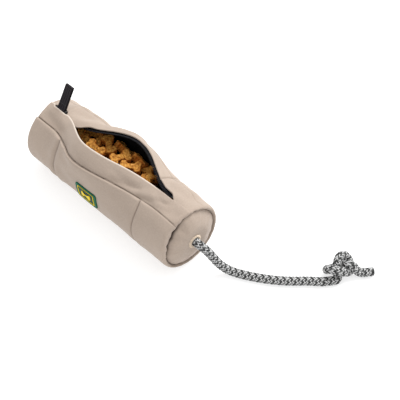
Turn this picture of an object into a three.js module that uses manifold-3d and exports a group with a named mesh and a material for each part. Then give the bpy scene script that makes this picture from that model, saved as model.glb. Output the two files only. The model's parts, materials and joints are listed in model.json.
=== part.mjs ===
// A treat pouch: a canvas tube with a zip along its top, padded ends and a braided rope at one end.
// Frame: millimetres, +X towards the rope, +Z up, origin under the middle of the tube on the table.
import * as THREE from "three";
import { mergeVertices } from "three/addons/utils/BufferGeometryUtils.js";
import Module from "manifold-3d";

const wasm = await Module();
wasm.setup();

// ---- Driving dimensions -------------------------------------------------------------------------

const GAP = 0.3; // between sewn or touching pieces

// Tube. Angles round it are in degrees from the bottom, positive towards +Y.
const TUBE_R = 33;
const AXIS_Z = 32; // 1 mm less than TUBE_R: the underside is pressed flat by its weight
const TUBE_HALF = 90; // half the length between the rolled rims
const CANVAS = 1.2;
const LINING = 0.7;
const LINING_R = TUBE_R - CANVAS - GAP; // outside of the lining
const REAR_SEAM_X = -55; // cross seams that bound the middle section
const FRONT_SEAM_X = 50;
const HINGE_ANGLE = 72; // the upper walls fold outwards from here
const SIDE_SEAM_ANGLE = 148;
const TOP_EDGE_ANGLE = 171; // folded edge of the canvas beside the zip, at the ends
const WALL_EDGE_ANGLE = 169.5; // the same on the walls that fold outwards
const STEP_ANGLE = 10; // facets of curved walls

// Mouth, as it stands open.
const NEAR_OPEN = 20; // degrees each wall leans out
const FAR_OPEN = 23;

// Ends.
const RIM_DEPTH = 4; // how far the rolled rim stands out along the tube
const DISC_R = 27.6;
const DOME = 6.3;
const PAD_BACK_X = 86;
const LINING_DISC_R = 29.7;
const EYELET_HOLE_R = 4.4;
const EYELET_R = 6.6;
const EYELET_THICK = 1.2;

// Zip.
const TAPE = 0.6;
const TAPE_OUT_ANGLE = 165; // edge of the tape sewn under the canvas
const TAPE_IN_Y = 2.6; // edge of the tape beside its coil
const COIL_IN_Y = 0.8;
const COIL_OUT_Y = 2.3;
const COIL_Z = 62.2;
const COIL_THICK = 1.4;
const SLOT_REAR_X = -87;
const SLOT_FRONT_X = 72;
const SLOT_HALF = TUBE_R * Math.sin(THREE.MathUtils.degToRad(180 - TOP_EDGE_ANGLE));
const MOVING_COIL_SET_BACK = 2.8; // keeps the moving coils out of the slider's way

// Slider and its ribbon pull.
const SLIDER_X = -78;
const SLIDER_LENGTH = 13;
const SLIDER_HALF_WIDTH = 3.4;
const PLATE = 1.2;
const SLIDER_TOP_Z = 64;
const SLIDER_BOTTOM_Z = 60.6;
const BAIL_BAR_Z = 67.9;
const BAIL_BAR = 1.4;
const RIBBON_WIDTH = 10;
const RIBBON_LENGTH = 27;
const RIBBON_THICK = 2.4;
const RIBBON_LEAN = 29; // degrees from upright, towards +Y

// Patch on the near wall.
const PATCH_X = [-20, 7];
const PATCH_ANGLE = [76, 108];
const PATCH_THICK = 1.3;
const FRAME_THICK = 0.6;
const FRAME_WIDTH = 1.6;

// Rope, with an overhand knot near its end.
const ROPE_D = 8;
const ROPE_SIDES = 10;
const ROPE_EXIT_X = TUBE_HALF + RIM_DEPTH + DOME + EYELET_THICK + GAP;
const KNOT_CENTRE = [199.1, 85.1, 9.8];
const KNOT_SIZE = 4.4; // a lobe's tip is 3 times this from the knot's centre
const KNOT_RISE = 5.7; // strands pass over and under each other by this much
const KNOT_TURN = 80; // degrees about Z

// Treats.
const TREAT_LENGTH = 19.6;
const TREAT_LOBE = 3.25;
const TREAT_WAIST = 2.8;
const TREAT_THICK = 7;
const BED_X = [-84, 74];
const BED_R = 30.2;
const BED_TOP_Z = 47;
const BED_CROWN = 6;

const COLOURS = {
  canvas: 0xb9a594,
  black: 0x171315,
  metal: 0x2a2a2c,
  foam: 0xd8d2c4,
  green: 0x0b5a3a,
  yellow: 0xe6c81e,
  cream: 0xe8d8c0,
  rope: 0x77777a,
  treat: 0xa8682c,
};
const finish = (name) =>
  name === "metal" ? { roughness: 0.4, metalness: 0.8 } : { roughness: 0.85, metalness: 0 };
const materials = Object.fromEntries(
  Object.entries(COLOURS).map(([name, color]) => [
    name,
    new THREE.MeshStandardMaterial({ color, ...finish(name) }),
  ]),
);

// ---- Geometry helpers ---------------------------------------------------------------------------

const rad = THREE.MathUtils.degToRad;
const gapAngle = THREE.MathUtils.radToDeg(GAP / TUBE_R);
const flatAngle = THREE.MathUtils.radToDeg(Math.acos(AXIS_Z / TUBE_R));

function positionsOnly(geometry) {
  geometry.deleteAttribute("normal");
  geometry.deleteAttribute("uv");
  return mergeVertices(geometry, 1e-3);
}

function signedVolume(geometry) {
  const [a, b, c] = [new THREE.Vector3(), new THREE.Vector3(), new THREE.Vector3()];
  const { position } = geometry.attributes;
  let sum = 0;
  for (let i = 0; i < geometry.index.count; i += 3) {
    [a, b, c].forEach((v, k) => v.fromBufferAttribute(position, geometry.index.getX(i + k)));
    sum += a.dot(b.cross(c));
  }
  return sum / 6;
}

// The same solid with its faces pointing out.
function facingOut(geometry) {
  const solid = positionsOnly(geometry);
  if (signedVolume(solid) < 0) solid.index.array.reverse();
  return solid;
}

function toManifold(geometry) {
  const solid = facingOut(geometry);
  return new wasm.Manifold(
    new wasm.Mesh({
      numProp: 3,
      vertProperties: new Float32Array(solid.attributes.position.array),
      triVerts: new Uint32Array(solid.index.array),
    }),
  );
}

function fromManifold(manifold) {
  const { vertProperties, triVerts } = manifold.getMesh();
  const geometry = new THREE.BufferGeometry();
  geometry.setAttribute("position", new THREE.BufferAttribute(new Float32Array(vertProperties), 3));
  return geometry.setIndex(new THREE.BufferAttribute(new Uint32Array(triVerts), 1));
}

function join(...geometries) {
  return fromManifold(geometries.map(toManifold).reduce((a, b) => a.add(b)));
}

function cut(geometry, tool) {
  return fromManifold(toManifold(geometry).subtract(toManifold(tool)));
}

function box([x0, x1], [y0, y1], [z0, z1]) {
  const geometry = new THREE.BoxGeometry(x1 - x0, y1 - y0, z1 - z0);
  return geometry.translate((x0 + x1) / 2, (y0 + y1) / 2, (z0 + z1) / 2);
}

// A point of the tube's wall at radius r; the underside is flat.
function tubePoint(x, r, angle) {
  const z = AXIS_Z - r * Math.cos(rad(angle));
  return [x, r * Math.sin(rad(angle)), Math.max(z, TUBE_R - r)];
}

// Angles from a0 to a1 in steps of about STEP_ANGLE, with a stop at each edge of the flat underside.
function angleStops(a0, a1) {
  const corners = [-flatAngle, flatAngle].filter((a) => a > a0 && a < a1);
  const ends = [a0, ...corners, a1];
  const stops = [a0];
  ends.slice(1).forEach((end, i) => {
    const n = Math.max(1, Math.round((end - ends[i]) / STEP_ANGLE));
    for (let k = 1; k <= n; k++) stops.push(ends[i] + ((end - ends[i]) * k) / n);
  });
  return stops;
}

// A piece of the tube's wall: from x0 to x1, a0 to a1, outer radius r and a thickness.
function wall([x0, x1], [a0, a1], r, thickness) {
  const stops = angleStops(a0, a1);
  const points = stops.flatMap((a) => [
    tubePoint(x0, r, a),
    tubePoint(x1, r, a),
    tubePoint(x1, r - thickness, a),
    tubePoint(x0, r - thickness, a),
  ]);
  const faces = [0, 1, 2, 0, 2, 3];
  for (let i = 0; i + 1 < stops.length; i++)
    for (let k = 0; k < 4; k++) {
      const [a, b] = [4 * i + k, 4 * i + ((k + 1) % 4)];
      faces.push(a, a + 4, b, b, a + 4, b + 4);
    }
  const last = 4 * (stops.length - 1);
  faces.push(last, last + 2, last + 1, last, last + 3, last + 2);
  const geometry = new THREE.BufferGeometry();
  geometry.setAttribute("position", new THREE.Float32BufferAttribute(points.flat(), 3));
  return facingOut(geometry.setIndex(faces));
}

// A solid of revolution about the tube's axis from [radius, x] points; nothing reaches below the table.
function turned(profile, segments = 36) {
  const points = profile.map(([r, x]) => new THREE.Vector2(r, x));
  const geometry = new THREE.LatheGeometry(points, segments).rotateZ(-Math.PI / 2);
  geometry.translate(0, 0, AXIS_Z);
  const { position } = geometry.attributes;
  for (let i = 0; i < position.count; i++) {
    const r = Math.hypot(position.getY(i), position.getZ(i) - AXIS_Z);
    const floor = r > DISC_R ? TUBE_R - r : 0;
    position.setZ(i, Math.max(position.getZ(i), floor));
  }
  return facingOut(geometry);
}

function closed(profile) {
  return [...profile, profile[0]];
}

// The dome of an end disc at radius r, for its outer face.
function domeX(r) {
  return TUBE_HALF + RIM_DEPTH - 0.5 + DOME * Math.cos((Math.PI / 2) * Math.min(r / DISC_R, 1));
}

function range(from, to, count) {
  return Array.from({ length: count }, (_, i) => from + ((to - from) * i) / (count - 1));
}

function extruded(shape, depth, curveSegments = 4) {
  return new THREE.ExtrudeGeometry(shape, { depth, bevelEnabled: false, curveSegments });
}

// ---- Scene graph --------------------------------------------------------------------------------

const pouch = new THREE.Group();
const hingeY = TUBE_R * Math.sin(rad(HINGE_ANGLE));
const hingeZ = AXIS_Z - TUBE_R * Math.cos(rad(HINGE_ANGLE));

// A wall's pieces are drawn closed, then turned outwards about the wall's hinge line.
function hingedGroup(side, open) {
  const hinge = new THREE.Group();
  hinge.position.set(0, side * hingeY, hingeZ);
  hinge.rotation.x = -side * rad(open);
  const content = new THREE.Group();
  content.position.set(0, -side * hingeY, -hingeZ);
  hinge.add(content);
  pouch.add(hinge);
  return content;
}

const nearWall = hingedGroup(-1, NEAR_OPEN);
const farWall = hingedGroup(1, FAR_OPEN);

function piece(name, material, geometry, parent = pouch) {
  const mesh = new THREE.Mesh(geometry, materials[material]);
  mesh.name = name;
  parent.add(mesh);
  return mesh;
}

// Angles on one side of the tube: side -1 is near, +1 is far.
function sideAngles(side, low, high) {
  return side > 0 ? [low, high] : [-high, -low];
}

// ---- Canvas -------------------------------------------------------------------------------------

const middleX = [REAR_SEAM_X + GAP / 2, FRONT_SEAM_X - GAP / 2];
const endSections = {
  rear: [-TUBE_HALF, REAR_SEAM_X - GAP / 2],
  front: [FRONT_SEAM_X + GAP / 2, TUBE_HALF],
};

function addCanvas() {
  piece("lower_panel", "canvas", wall(middleX, [-HINGE_ANGLE, HINGE_ANGLE], TUBE_R, CANVAS));
  for (const [side, name, parent] of [[-1, "near", nearWall], [1, "far", farWall]]) {
    const lower = sideAngles(side, HINGE_ANGLE + gapAngle, SIDE_SEAM_ANGLE);
    const upper = sideAngles(side, SIDE_SEAM_ANGLE + gapAngle, WALL_EDGE_ANGLE);
    piece(name + "_side_panel", "canvas", wall(middleX, lower, TUBE_R, CANVAS), parent);
    piece(name + "_top_panel", "canvas", wall(middleX, upper, TUBE_R, CANVAS), parent);
  }
  const slot = box([SLOT_REAR_X, SLOT_FRONT_X], [-SLOT_HALF, SLOT_HALF], [AXIS_Z, TUBE_R * 3]);
  for (const [name, xs] of Object.entries(endSections)) {
    const around = [-SIDE_SEAM_ANGLE, SIDE_SEAM_ANGLE];
    const over = [SIDE_SEAM_ANGLE + gapAngle, 360 - SIDE_SEAM_ANGLE - gapAngle];
    piece(name + "_lower_panel", "canvas", wall(xs, around, TUBE_R, CANVAS));
    piece(name + "_top_panel", "canvas", cut(wall(xs, over, TUBE_R, CANVAS), slot));
  }
}

// ---- Lining -------------------------------------------------------------------------------------

function addLining() {
  const top = TAPE_OUT_ANGLE - gapAngle * 1.5;
  piece("lining_base", "black", wall(middleX, [-HINGE_ANGLE, HINGE_ANGLE], LINING_R, LINING));
  for (const [side, name, parent] of [[-1, "near", nearWall], [1, "far", farWall]]) {
    const angles = sideAngles(side, HINGE_ANGLE + gapAngle, top);
    piece("lining_" + name, "black", wall(middleX, angles, LINING_R, LINING), parent);
  }
  for (const [name, [x0, x1]] of Object.entries(endSections)) {
    const xs = [Math.max(x0, -PAD_BACK_X), Math.min(x1, PAD_BACK_X)];
    piece("lining_" + name, "black", wall(xs, [-top, top], LINING_R, LINING));
  }
}

// ---- Ends ---------------------------------------------------------------------------------------

// One end's rim, disc, foam pad and lining disc; the front ones have a hole for the rope.
function addEnd(name, direction, hole) {
  const place = (profile) => turned(closed(profile.map(([r, x]) => [r, direction * x])));
  const radii = range(DISC_R, hole, 7);
  const face = (inset) => radii.map((r) => [r, domeX(r) - inset]);
  const rimTurn = range(0, 90, 5).map((a) => [
    TUBE_R - RIM_DEPTH * (1 - Math.cos(rad(a))),
    TUBE_HALF + GAP + (RIM_DEPTH - GAP) * Math.sin(rad(a)),
  ]);
  const rimBack = [
    [DISC_R + GAP, TUBE_HALF + RIM_DEPTH],
    [DISC_R + GAP, TUBE_HALF + RIM_DEPTH - CANVAS],
    [TUBE_R - CANVAS, TUBE_HALF + GAP],
  ];
  piece(name + "_rim", "canvas", place([...rimTurn, ...rimBack]));
  piece(name + "_disc", "canvas", place([...face(0), ...face(CANVAS).reverse()]));
  const pad = [...face(CANVAS + GAP), [hole, PAD_BACK_X + GAP], [DISC_R, PAD_BACK_X + GAP]];
  piece(name + "_pad", "foam", place(pad));
  const liningDisc = [
    [hole, PAD_BACK_X],
    [LINING_DISC_R, PAD_BACK_X],
    [LINING_DISC_R, PAD_BACK_X - LINING],
    [hole, PAD_BACK_X - LINING],
  ];
  piece(name + "_lining_disc", "black", place(liningDisc));
}

function addEyelet() {
  const faceX = domeX(EYELET_HOLE_R) + GAP;
  const barrelR = EYELET_HOLE_R - GAP;
  const washer = (x, outward) => closed([
    [barrelR + 0.01, x],
    [EYELET_R, x],
    [EYELET_R - 0.5, x + outward * EYELET_THICK],
    [barrelR + 0.01, x + outward * EYELET_THICK],
  ]);
  piece("eyelet_front", "cream", turned(washer(faceX, 1), 24));
  piece("eyelet_back", "cream", turned(washer(PAD_BACK_X - LINING - GAP, -1), 24));
}

// ---- Zip ----------------------------------------------------------------------------------------

const tapeInAngle = 180 - THREE.MathUtils.radToDeg(Math.asin(TAPE_IN_Y / LINING_R));

function coilBar([x0, x1], side, inner, outer) {
  const ys = side > 0 ? [inner, outer] : [-outer, -inner];
  return box([x0, x1], ys, [COIL_Z, COIL_Z + COIL_THICK]);
}

// The zip's still ends: both tapes and coils of one end, with the strip that joins them past the stop.
function addZipEnd(name, [x0, x1], stripX) {
  const tapes = [-1, 1].map((side) =>
    wall([x0, x1], sideAngles(side, TAPE_OUT_ANGLE, tapeInAngle), LINING_R, TAPE));
  const coilX = [Math.max(x0, SLOT_REAR_X + GAP), Math.min(x1, SLOT_FRONT_X - GAP)];
  const coils = [-1, 1].map((side) => coilBar(coilX, side, COIL_IN_Y, TAPE_IN_Y + 0.2));
  const strip = wall(stripX, [TAPE_OUT_ANGLE, 360 - TAPE_OUT_ANGLE], LINING_R, TAPE);
  piece("zip_tape_" + name, "black", join(...tapes, ...coils, strip));
}

function addZip() {
  addZipEnd("rear", [-TUBE_HALF, REAR_SEAM_X - GAP / 2], [-TUBE_HALF, SLOT_REAR_X + 1.6]);
  addZipEnd("front", [FRONT_SEAM_X + GAP / 2, SLOT_FRONT_X + 4], [SLOT_FRONT_X, SLOT_FRONT_X + 4]);
  for (const [side, name, parent] of [[-1, "near", nearWall], [1, "far", farWall]]) {
    const inner = COIL_IN_Y + MOVING_COIL_SET_BACK;
    const outer = COIL_OUT_Y + MOVING_COIL_SET_BACK;
    const edge = 180 - THREE.MathUtils.radToDeg(Math.asin((outer + GAP) / LINING_R));
    const angles = sideAngles(side, TAPE_OUT_ANGLE, edge);
    piece("zip_tape_" + name, "black", wall(middleX, angles, LINING_R, TAPE), parent);
    piece("zip_coil_" + name, "black", coilBar(middleX, side, inner, outer), parent);
  }
  const stopZ = [COIL_Z + COIL_THICK + GAP, COIL_Z + COIL_THICK + 1.3];
  const rearStopX = [SLOT_REAR_X + GAP, SLOT_REAR_X + 1.8];
  piece("zip_bottom_stop", "metal", box(rearStopX, [-COIL_OUT_Y, COIL_OUT_Y], stopZ));
  for (const [side, name] of [[-1, "near"], [1, "far"]]) {
    const ys = side > 0 ? [COIL_IN_Y, COIL_OUT_Y] : [-COIL_OUT_Y, -COIL_IN_Y];
    piece("zip_top_stop_" + name, "metal", box([SLOT_FRONT_X - 2.8, SLOT_FRONT_X - 1], ys, stopZ));
  }
}

// ---- Slider and pull ----------------------------------------------------------------------------

// The slider's outline from above: wide shoulders towards the closed end, tapering to the tail.
function sliderOutline() {
  const [half, wide] = [SLIDER_LENGTH / 2, SLIDER_HALF_WIDTH];
  const shape = new THREE.Shape();
  shape.moveTo(-half, -wide * 0.7);
  shape.lineTo(half - wide, -wide);
  shape.quadraticCurveTo(half, -wide, half, 0);
  shape.quadraticCurveTo(half, wide, half - wide, wide);
  shape.lineTo(-half, wide * 0.7);
  return shape;
}

function addSlider() {
  const plate = (z) => extruded(sliderOutline(), PLATE).translate(SLIDER_X, 0, z);
  const postX = SLIDER_X + SLIDER_LENGTH / 2 - 3;
  const post = box([postX, postX + 1.6], [-0.45, 0.45], [SLIDER_BOTTOM_Z + 0.2, SLIDER_TOP_Z + 0.2]);
  piece("slider_body", "metal", join(plate(SLIDER_TOP_Z), plate(SLIDER_BOTTOM_Z), post));

  const footZ = SLIDER_TOP_Z + PLATE + GAP;
  const topZ = BAIL_BAR_Z + BAIL_BAR / 2;
  const outer = SLIDER_LENGTH / 2;
  const inner = outer - 1.2;
  const arch = new THREE.Shape();
  arch.moveTo(-outer, footZ);
  arch.lineTo(-outer, topZ - 0.8);
  arch.quadraticCurveTo(-outer, topZ, -outer + 0.8, topZ);
  arch.lineTo(outer - 0.8, topZ);
  arch.quadraticCurveTo(outer, topZ, outer, topZ - 0.8);
  arch.lineTo(outer, footZ);
  arch.lineTo(inner, footZ);
  arch.lineTo(inner, topZ - BAIL_BAR);
  arch.lineTo(-inner, topZ - BAIL_BAR);
  arch.lineTo(-inner, footZ);
  const bail = extruded(arch, BAIL_BAR).rotateX(Math.PI / 2);
  piece("slider_bail", "metal", bail.translate(SLIDER_X, BAIL_BAR / 2, 0));
}

// A webbing ribbon folded round the bail's bar, its two layers sewn together above it.
function addPull() {
  const [eye, outer, half] = [BAIL_BAR * 0.9, BAIL_BAR * 1.72, RIBBON_THICK / 2];
  const side = Math.asin(half / outer);
  const shape = new THREE.Shape();
  shape.moveTo(RIBBON_LENGTH, half);
  shape.absarc(0, 0, outer, side, 2 * Math.PI - side, false);
  shape.lineTo(RIBBON_LENGTH, -half);
  const hole = new THREE.Path();
  hole.absarc(0, 0, eye, 0, 2 * Math.PI, true);
  shape.holes.push(hole);
  const ribbon = extruded(shape, RIBBON_WIDTH, 8);
  const pull = new THREE.Group();
  pull.position.set(SLIDER_X - RIBBON_WIDTH / 2, 0, BAIL_BAR_Z);
  pull.rotation.set(rad(90 - RIBBON_LEAN), 0, 0);
  pouch.add(pull);
  // The profile's length runs along local Y and its thickness along local Z.
  const lying = ribbon.applyMatrix4(new THREE.Matrix4().set(0, 0, 1, 0, 1, 0, 0, 0, 0, 1, 0, 0, 0, 0, 0, 1));
  piece("pull_ribbon", "black", facingOut(lying), pull);
}

// ---- Patch --------------------------------------------------------------------------------------

// A bone's outline: a bar with two round lobes at each end.
function boneShape(length, lobe, waist) {
  const [x, y] = [length / 2 - lobe, lobe * 0.92];
  const dip = Math.asin((y - waist) / lobe); // where the bar meets a lobe
  const notch = rad(20); // where two lobes meet at the end
  const barX = x - lobe * Math.cos(dip);
  const shape = new THREE.Shape();
  shape.moveTo(-barX, waist);
  shape.lineTo(barX, waist);
  shape.absarc(x, y, lobe, Math.PI + dip, -notch, true);
  shape.absarc(x, -y, lobe, notch, -Math.PI - dip, true);
  shape.lineTo(-barX, -waist);
  shape.absarc(-x, -y, lobe, dip, -Math.PI - notch, true);
  shape.absarc(-x, y, lobe, Math.PI + notch, -dip, true);
  return shape;
}

function addPatch() {
  const [x0, x1] = PATCH_X;
  const [a0, a1] = PATCH_ANGLE;
  const baseR = TUBE_R + GAP + PATCH_THICK;
  const frameR = baseR + GAP + FRAME_THICK;
  const inset = THREE.MathUtils.radToDeg(FRAME_WIDTH / baseR);
  piece("patch_base", "green", wall([x0, x1], [-a1, -a0], baseR, PATCH_THICK), nearWall);
  const outerFrame = wall([x0 + 1, x1 - 1], [-a1 + inset / 2, -a0 - inset / 2], frameR, FRAME_THICK);
  const innerX = [x0 + 1 + FRAME_WIDTH, x1 - 1 - FRAME_WIDTH];
  const opening = wall(innerX, [-a1 + inset * 1.5, -a0 - inset * 1.5], frameR + 1, FRAME_THICK + 2);
  piece("patch_frame", "yellow", cut(outerFrame, opening), nearWall);
  const icon = extruded(boneShape(13, 2.2, 1.3), FRAME_THICK, 3);
  const middle = rad((a0 + a1) / 2);
  icon.rotateX(middle);
  icon.translate(
    (x0 + x1) / 2,
    -(baseR + GAP) * Math.sin(middle),
    AXIS_Z - (baseR + GAP) * Math.cos(middle),
  );
  piece("patch_icon", "yellow", icon, nearWall);
}

// ---- Rope ---------------------------------------------------------------------------------------

// Middle line of the rope from the eyelet to the knot: out, down to the table and round towards +Y.
const ROPE_ROUTE = [
  [ROPE_EXIT_X, 0, AXIS_Z],
  [105.5, 0, AXIS_Z],
  [109.5, 1.2, 30.2],
  [113.3, 3.4, 25.8],
  [117, 6, 19.5],
  [122, 9.5, 11.5],
  [128, 13.5, 6.2],
  [135, 17.6, 4.2],
  [143, 22, 4],
  [152, 27.6, 4],
  [161, 34, 4],
  [170, 41.5, 4],
  [178, 49.5, 4],
  [184.5, 56.5, 4],
];
const TAIL_END = [217, 106, 4];

// The knot's middle line: a trefoil with one lobe opened into two leads, lying on the table.
function knotRoute() {
  const local = [[-4.2, 0.1, -1], [-3.1, -0.45, -1], [-2.2, -0.85, -1], [-1.45, -0.6, -0.9]];
  for (let degrees = 480; degrees >= 240; degrees -= 15) {
    const t = rad(degrees);
    local.push([Math.sin(t) + 2 * Math.sin(2 * t), Math.cos(t) - 2 * Math.cos(2 * t), -Math.sin(3 * t)]);
  }
  local.push([1.4, -0.5, 0.75], [2, -1.15, 0.35], [2.6, -1.6, -0.5], [3.2, -2.05, -0.97], [3.7, -2.42, -0.98]);
  const turn = new THREE.Matrix4().makeRotationZ(rad(KNOT_TURN)).setPosition(...KNOT_CENTRE);
  return local.map(([x, y, z]) =>
    new THREE.Vector3(x * KNOT_SIZE, y * KNOT_SIZE, z * KNOT_RISE).applyMatrix4(turn).toArray());
}

function tube(points, steps) {
  const path = new THREE.CatmullRomCurve3(points.map((p) => new THREE.Vector3(...p)), false, "centripetal");
  const section = new THREE.Shape();
  for (let i = 0; i < ROPE_SIDES; i++) {
    const a = (2 * Math.PI * (i + 0.5)) / ROPE_SIDES;
    const [x, y] = [(ROPE_D / 2) * Math.cos(a), (ROPE_D / 2) * Math.sin(a)];
    if (i === 0) section.moveTo(x, y);
    else section.lineTo(x, y);
  }
  return new THREE.ExtrudeGeometry(section, { steps, bevelEnabled: false, extrudePath: path });
}

// A point short of b on the way from a to b, so that two lengths of rope end face to face.
function shortOf(a, b, gap) {
  const [from, to] = [new THREE.Vector3(...a), new THREE.Vector3(...b)];
  return to.addScaledVector(to.clone().sub(from).normalize(), -gap).toArray();
}

function addRope() {
  const knot = knotRoute();
  const knotEnd = knot.at(-1);
  const into = [-6, -GAP].map((gap) => shortOf(knot[1], knot[0], gap));
  piece("rope", "rope", tube([...ROPE_ROUTE, ...into], 26));
  piece("rope_knot", "rope", tube(knot, 64));
  const out = [-GAP, -4].map((gap) => shortOf(knot.at(-2), knotEnd, gap));
  piece("rope_tail", "rope", tube([...out, TAIL_END], 4));
}

// The rope inside the pouch: through the padded end to a stopper knot behind the back eyelet.
function addStopper() {
  const backX = PAD_BACK_X - LINING - GAP - EYELET_THICK - GAP;
  const r = ROPE_D / 2;
  const profile = [
    [0, ROPE_EXIT_X - 2 * GAP],
    [r, ROPE_EXIT_X - 2 * GAP],
    [r, backX],
    [r + 3.5, backX],
    [r + 4.5, backX - 3],
    [r + 3.5, backX - 7],
    [r, backX - 9],
    [0, backX - 9],
  ];
  piece("rope_stopper_knot", "rope", turned(profile, 16));
}

// ---- Treats -------------------------------------------------------------------------------------

// The treats on top of the heap: middle, then the turn about Z of the length, the rise of the length's
// far end and the lean about the length, in degrees.
const TREATS = [
  { at: [-26, 11, 50.5], heading: 150, pitch: 10, roll: 0 },
  { at: [-5, 6.5, 53], heading: 70, pitch: 0, roll: 18 },
  { at: [11, 4.5, 54], heading: 36, pitch: 0, roll: 6 },
  { at: [36, 2.5, 53.5], heading: -44, pitch: -4, roll: 0 },
  { at: [7.5, 19.5, 48], heading: -9, pitch: 0, roll: -52 },
  { at: [-15, 19.2, 47.5], heading: -11, pitch: 0, roll: -46 },
  { at: [-46, 13.5, 50], heading: 6, pitch: 0, roll: 76 },
  { at: [-61, 0, 50], heading: 20, pitch: 0, roll: 10 },
  { at: [-42, 3, 48], heading: 17, pitch: 0, roll: 20 },
  { at: [-29, -2, 53], heading: 4, pitch: -10, roll: 20 },
  { at: [-19, -9, 47.5], heading: 12, pitch: 0, roll: 8 },
  { at: [17, -3, 46.5], heading: 36, pitch: 0, roll: 0 },
  { at: [2, -17, 47.5], heading: 15, pitch: 0, roll: 25 },
  { at: [42, -14, 46.5], heading: -30, pitch: 0, roll: 15 },
];

// A bone-shaped treat where it lies, with its sides moved out by grown.
function treatGeometry({ at, heading, pitch, roll }, grown) {
  const outline = boneShape(TREAT_LENGTH + 2 * grown, TREAT_LOBE + grown, TREAT_WAIST + grown);
  const bone = extruded(outline, TREAT_THICK + 2 * grown, 2);
  bone.translate(0, 0, -TREAT_THICK / 2 - grown);
  bone.rotateX(rad(roll));
  bone.rotateY(rad(-pitch));
  bone.rotateZ(rad(heading));
  return bone.translate(...at);
}

// The heap under them: it fills the lining's lower part, with a crowned top that the treats lie in.
function bedGeometry() {
  const shape = new THREE.Shape();
  const edge = Math.asin((BED_TOP_Z - BED_CROWN - AXIS_Z) / BED_R);
  const topY = BED_R * Math.cos(edge);
  shape.moveTo(topY, BED_TOP_Z - BED_CROWN);
  shape.quadraticCurveTo(topY / 2, BED_TOP_Z, 0, BED_TOP_Z);
  shape.quadraticCurveTo(-topY / 2, BED_TOP_Z, -topY, BED_TOP_Z - BED_CROWN);
  shape.absarc(0, AXIS_Z, BED_R, Math.PI - edge, Math.PI * 1.44, false);
  shape.lineTo(BED_R * Math.sin(rad(11)), TUBE_R - BED_R + 1);
  shape.absarc(0, AXIS_Z, BED_R, Math.PI * 1.56, 2 * Math.PI + edge, false);
  const bed = extruded(shape, BED_X[1] - BED_X[0], 6);
  return bed.applyMatrix4(new THREE.Matrix4().set(0, 0, 1, BED_X[0], 1, 0, 0, 0, 0, 1, 0, 0, 0, 0, 0, 1));
}

// Each treat is pressed in a little where it meets one that comes before it, and so is the heap.
function addTreats() {
  let hollows = null;
  TREATS.forEach((treat, i) => {
    const whole = treatGeometry(treat, 0);
    piece("treat_" + String(i + 1).padStart(2, "0"), "treat", hollows ? cut(whole, hollows) : whole);
    const hollow = treatGeometry(treat, GAP);
    hollows = hollows ? join(hollows, hollow) : hollow;
  });
  piece("treat_bed", "treat", cut(bedGeometry(), hollows));
}

addCanvas();
addLining();
addEnd("front", 1, EYELET_HOLE_R);
addEnd("rear", -1, 0);
addEyelet();
addZip();
addSlider();
addPull();
addPatch();
addRope();
addStopper();
addTreats();

export default pouch;
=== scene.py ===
import json
import math
import random
from collections import namedtuple

import bpy
import numpy as np
from mathutils import Matrix, Vector, noise


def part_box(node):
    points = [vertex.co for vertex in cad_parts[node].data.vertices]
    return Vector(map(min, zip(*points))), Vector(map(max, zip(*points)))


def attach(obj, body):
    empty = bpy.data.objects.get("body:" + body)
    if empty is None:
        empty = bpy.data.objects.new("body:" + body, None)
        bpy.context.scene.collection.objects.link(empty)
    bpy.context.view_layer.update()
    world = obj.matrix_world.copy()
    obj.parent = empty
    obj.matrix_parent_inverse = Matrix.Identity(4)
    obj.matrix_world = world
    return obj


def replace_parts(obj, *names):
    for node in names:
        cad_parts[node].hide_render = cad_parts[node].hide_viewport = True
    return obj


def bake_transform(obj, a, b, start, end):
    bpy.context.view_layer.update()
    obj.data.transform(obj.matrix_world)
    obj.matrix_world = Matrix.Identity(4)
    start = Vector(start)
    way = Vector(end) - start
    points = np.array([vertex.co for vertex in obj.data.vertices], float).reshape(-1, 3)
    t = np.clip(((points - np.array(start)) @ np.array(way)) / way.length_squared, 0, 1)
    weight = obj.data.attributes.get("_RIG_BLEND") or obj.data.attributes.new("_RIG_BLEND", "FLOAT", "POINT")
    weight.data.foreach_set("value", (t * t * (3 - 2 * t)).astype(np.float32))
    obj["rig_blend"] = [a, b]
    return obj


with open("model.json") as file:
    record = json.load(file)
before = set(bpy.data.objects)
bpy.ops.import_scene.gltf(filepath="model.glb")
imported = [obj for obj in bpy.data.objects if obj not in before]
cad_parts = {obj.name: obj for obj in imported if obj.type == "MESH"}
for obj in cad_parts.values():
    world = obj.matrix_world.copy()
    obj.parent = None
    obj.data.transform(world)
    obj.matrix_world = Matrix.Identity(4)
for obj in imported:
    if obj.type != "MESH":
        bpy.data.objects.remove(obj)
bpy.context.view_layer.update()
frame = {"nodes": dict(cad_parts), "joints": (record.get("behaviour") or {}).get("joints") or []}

# A treat pouch: a canvas tube with an open zip, padded ends, a braided rope and a heap of small
# bone-shaped treats. Lengths are in millimetres and become metres where a mesh is made. Angles
# round the tube are in degrees from the bottom; each half of the tube has them from 0 to 180.

MM = 0.001


def box_mm(node):
    low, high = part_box(node)
    return np.array(low) / MM, np.array(high) / MM


def joint(name):
    return next(j for j in frame["joints"] if j["name"] == name)


# ---- Sizes ----------------------------------------------------------------------------------

TUBE_R = box_mm("front_rim")[1][1]
AXIS_Z = box_mm("front_rim")[1][2] - TUBE_R
TUBE_HALF = box_mm("front_lower_panel")[1][0]
RIM_X = box_mm("front_rim")[1][0]
DOME_X = box_mm("front_disc")[1][0]
ARC = math.radians(1) * TUBE_R  # millimetres to a degree round the tube
LINING_DEPTH = 1.7  # of the lining under the canvas's outside
LINING_END_X = box_mm("lining_front")[1][0]
HINGE_ANGLE = 72  # the walls of the mouth bend from here up
SIDE_SEAM = 148  # the long seam, round the tube
FOLD_R = 0.8  # of the canvas folded over beside the zip

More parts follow.
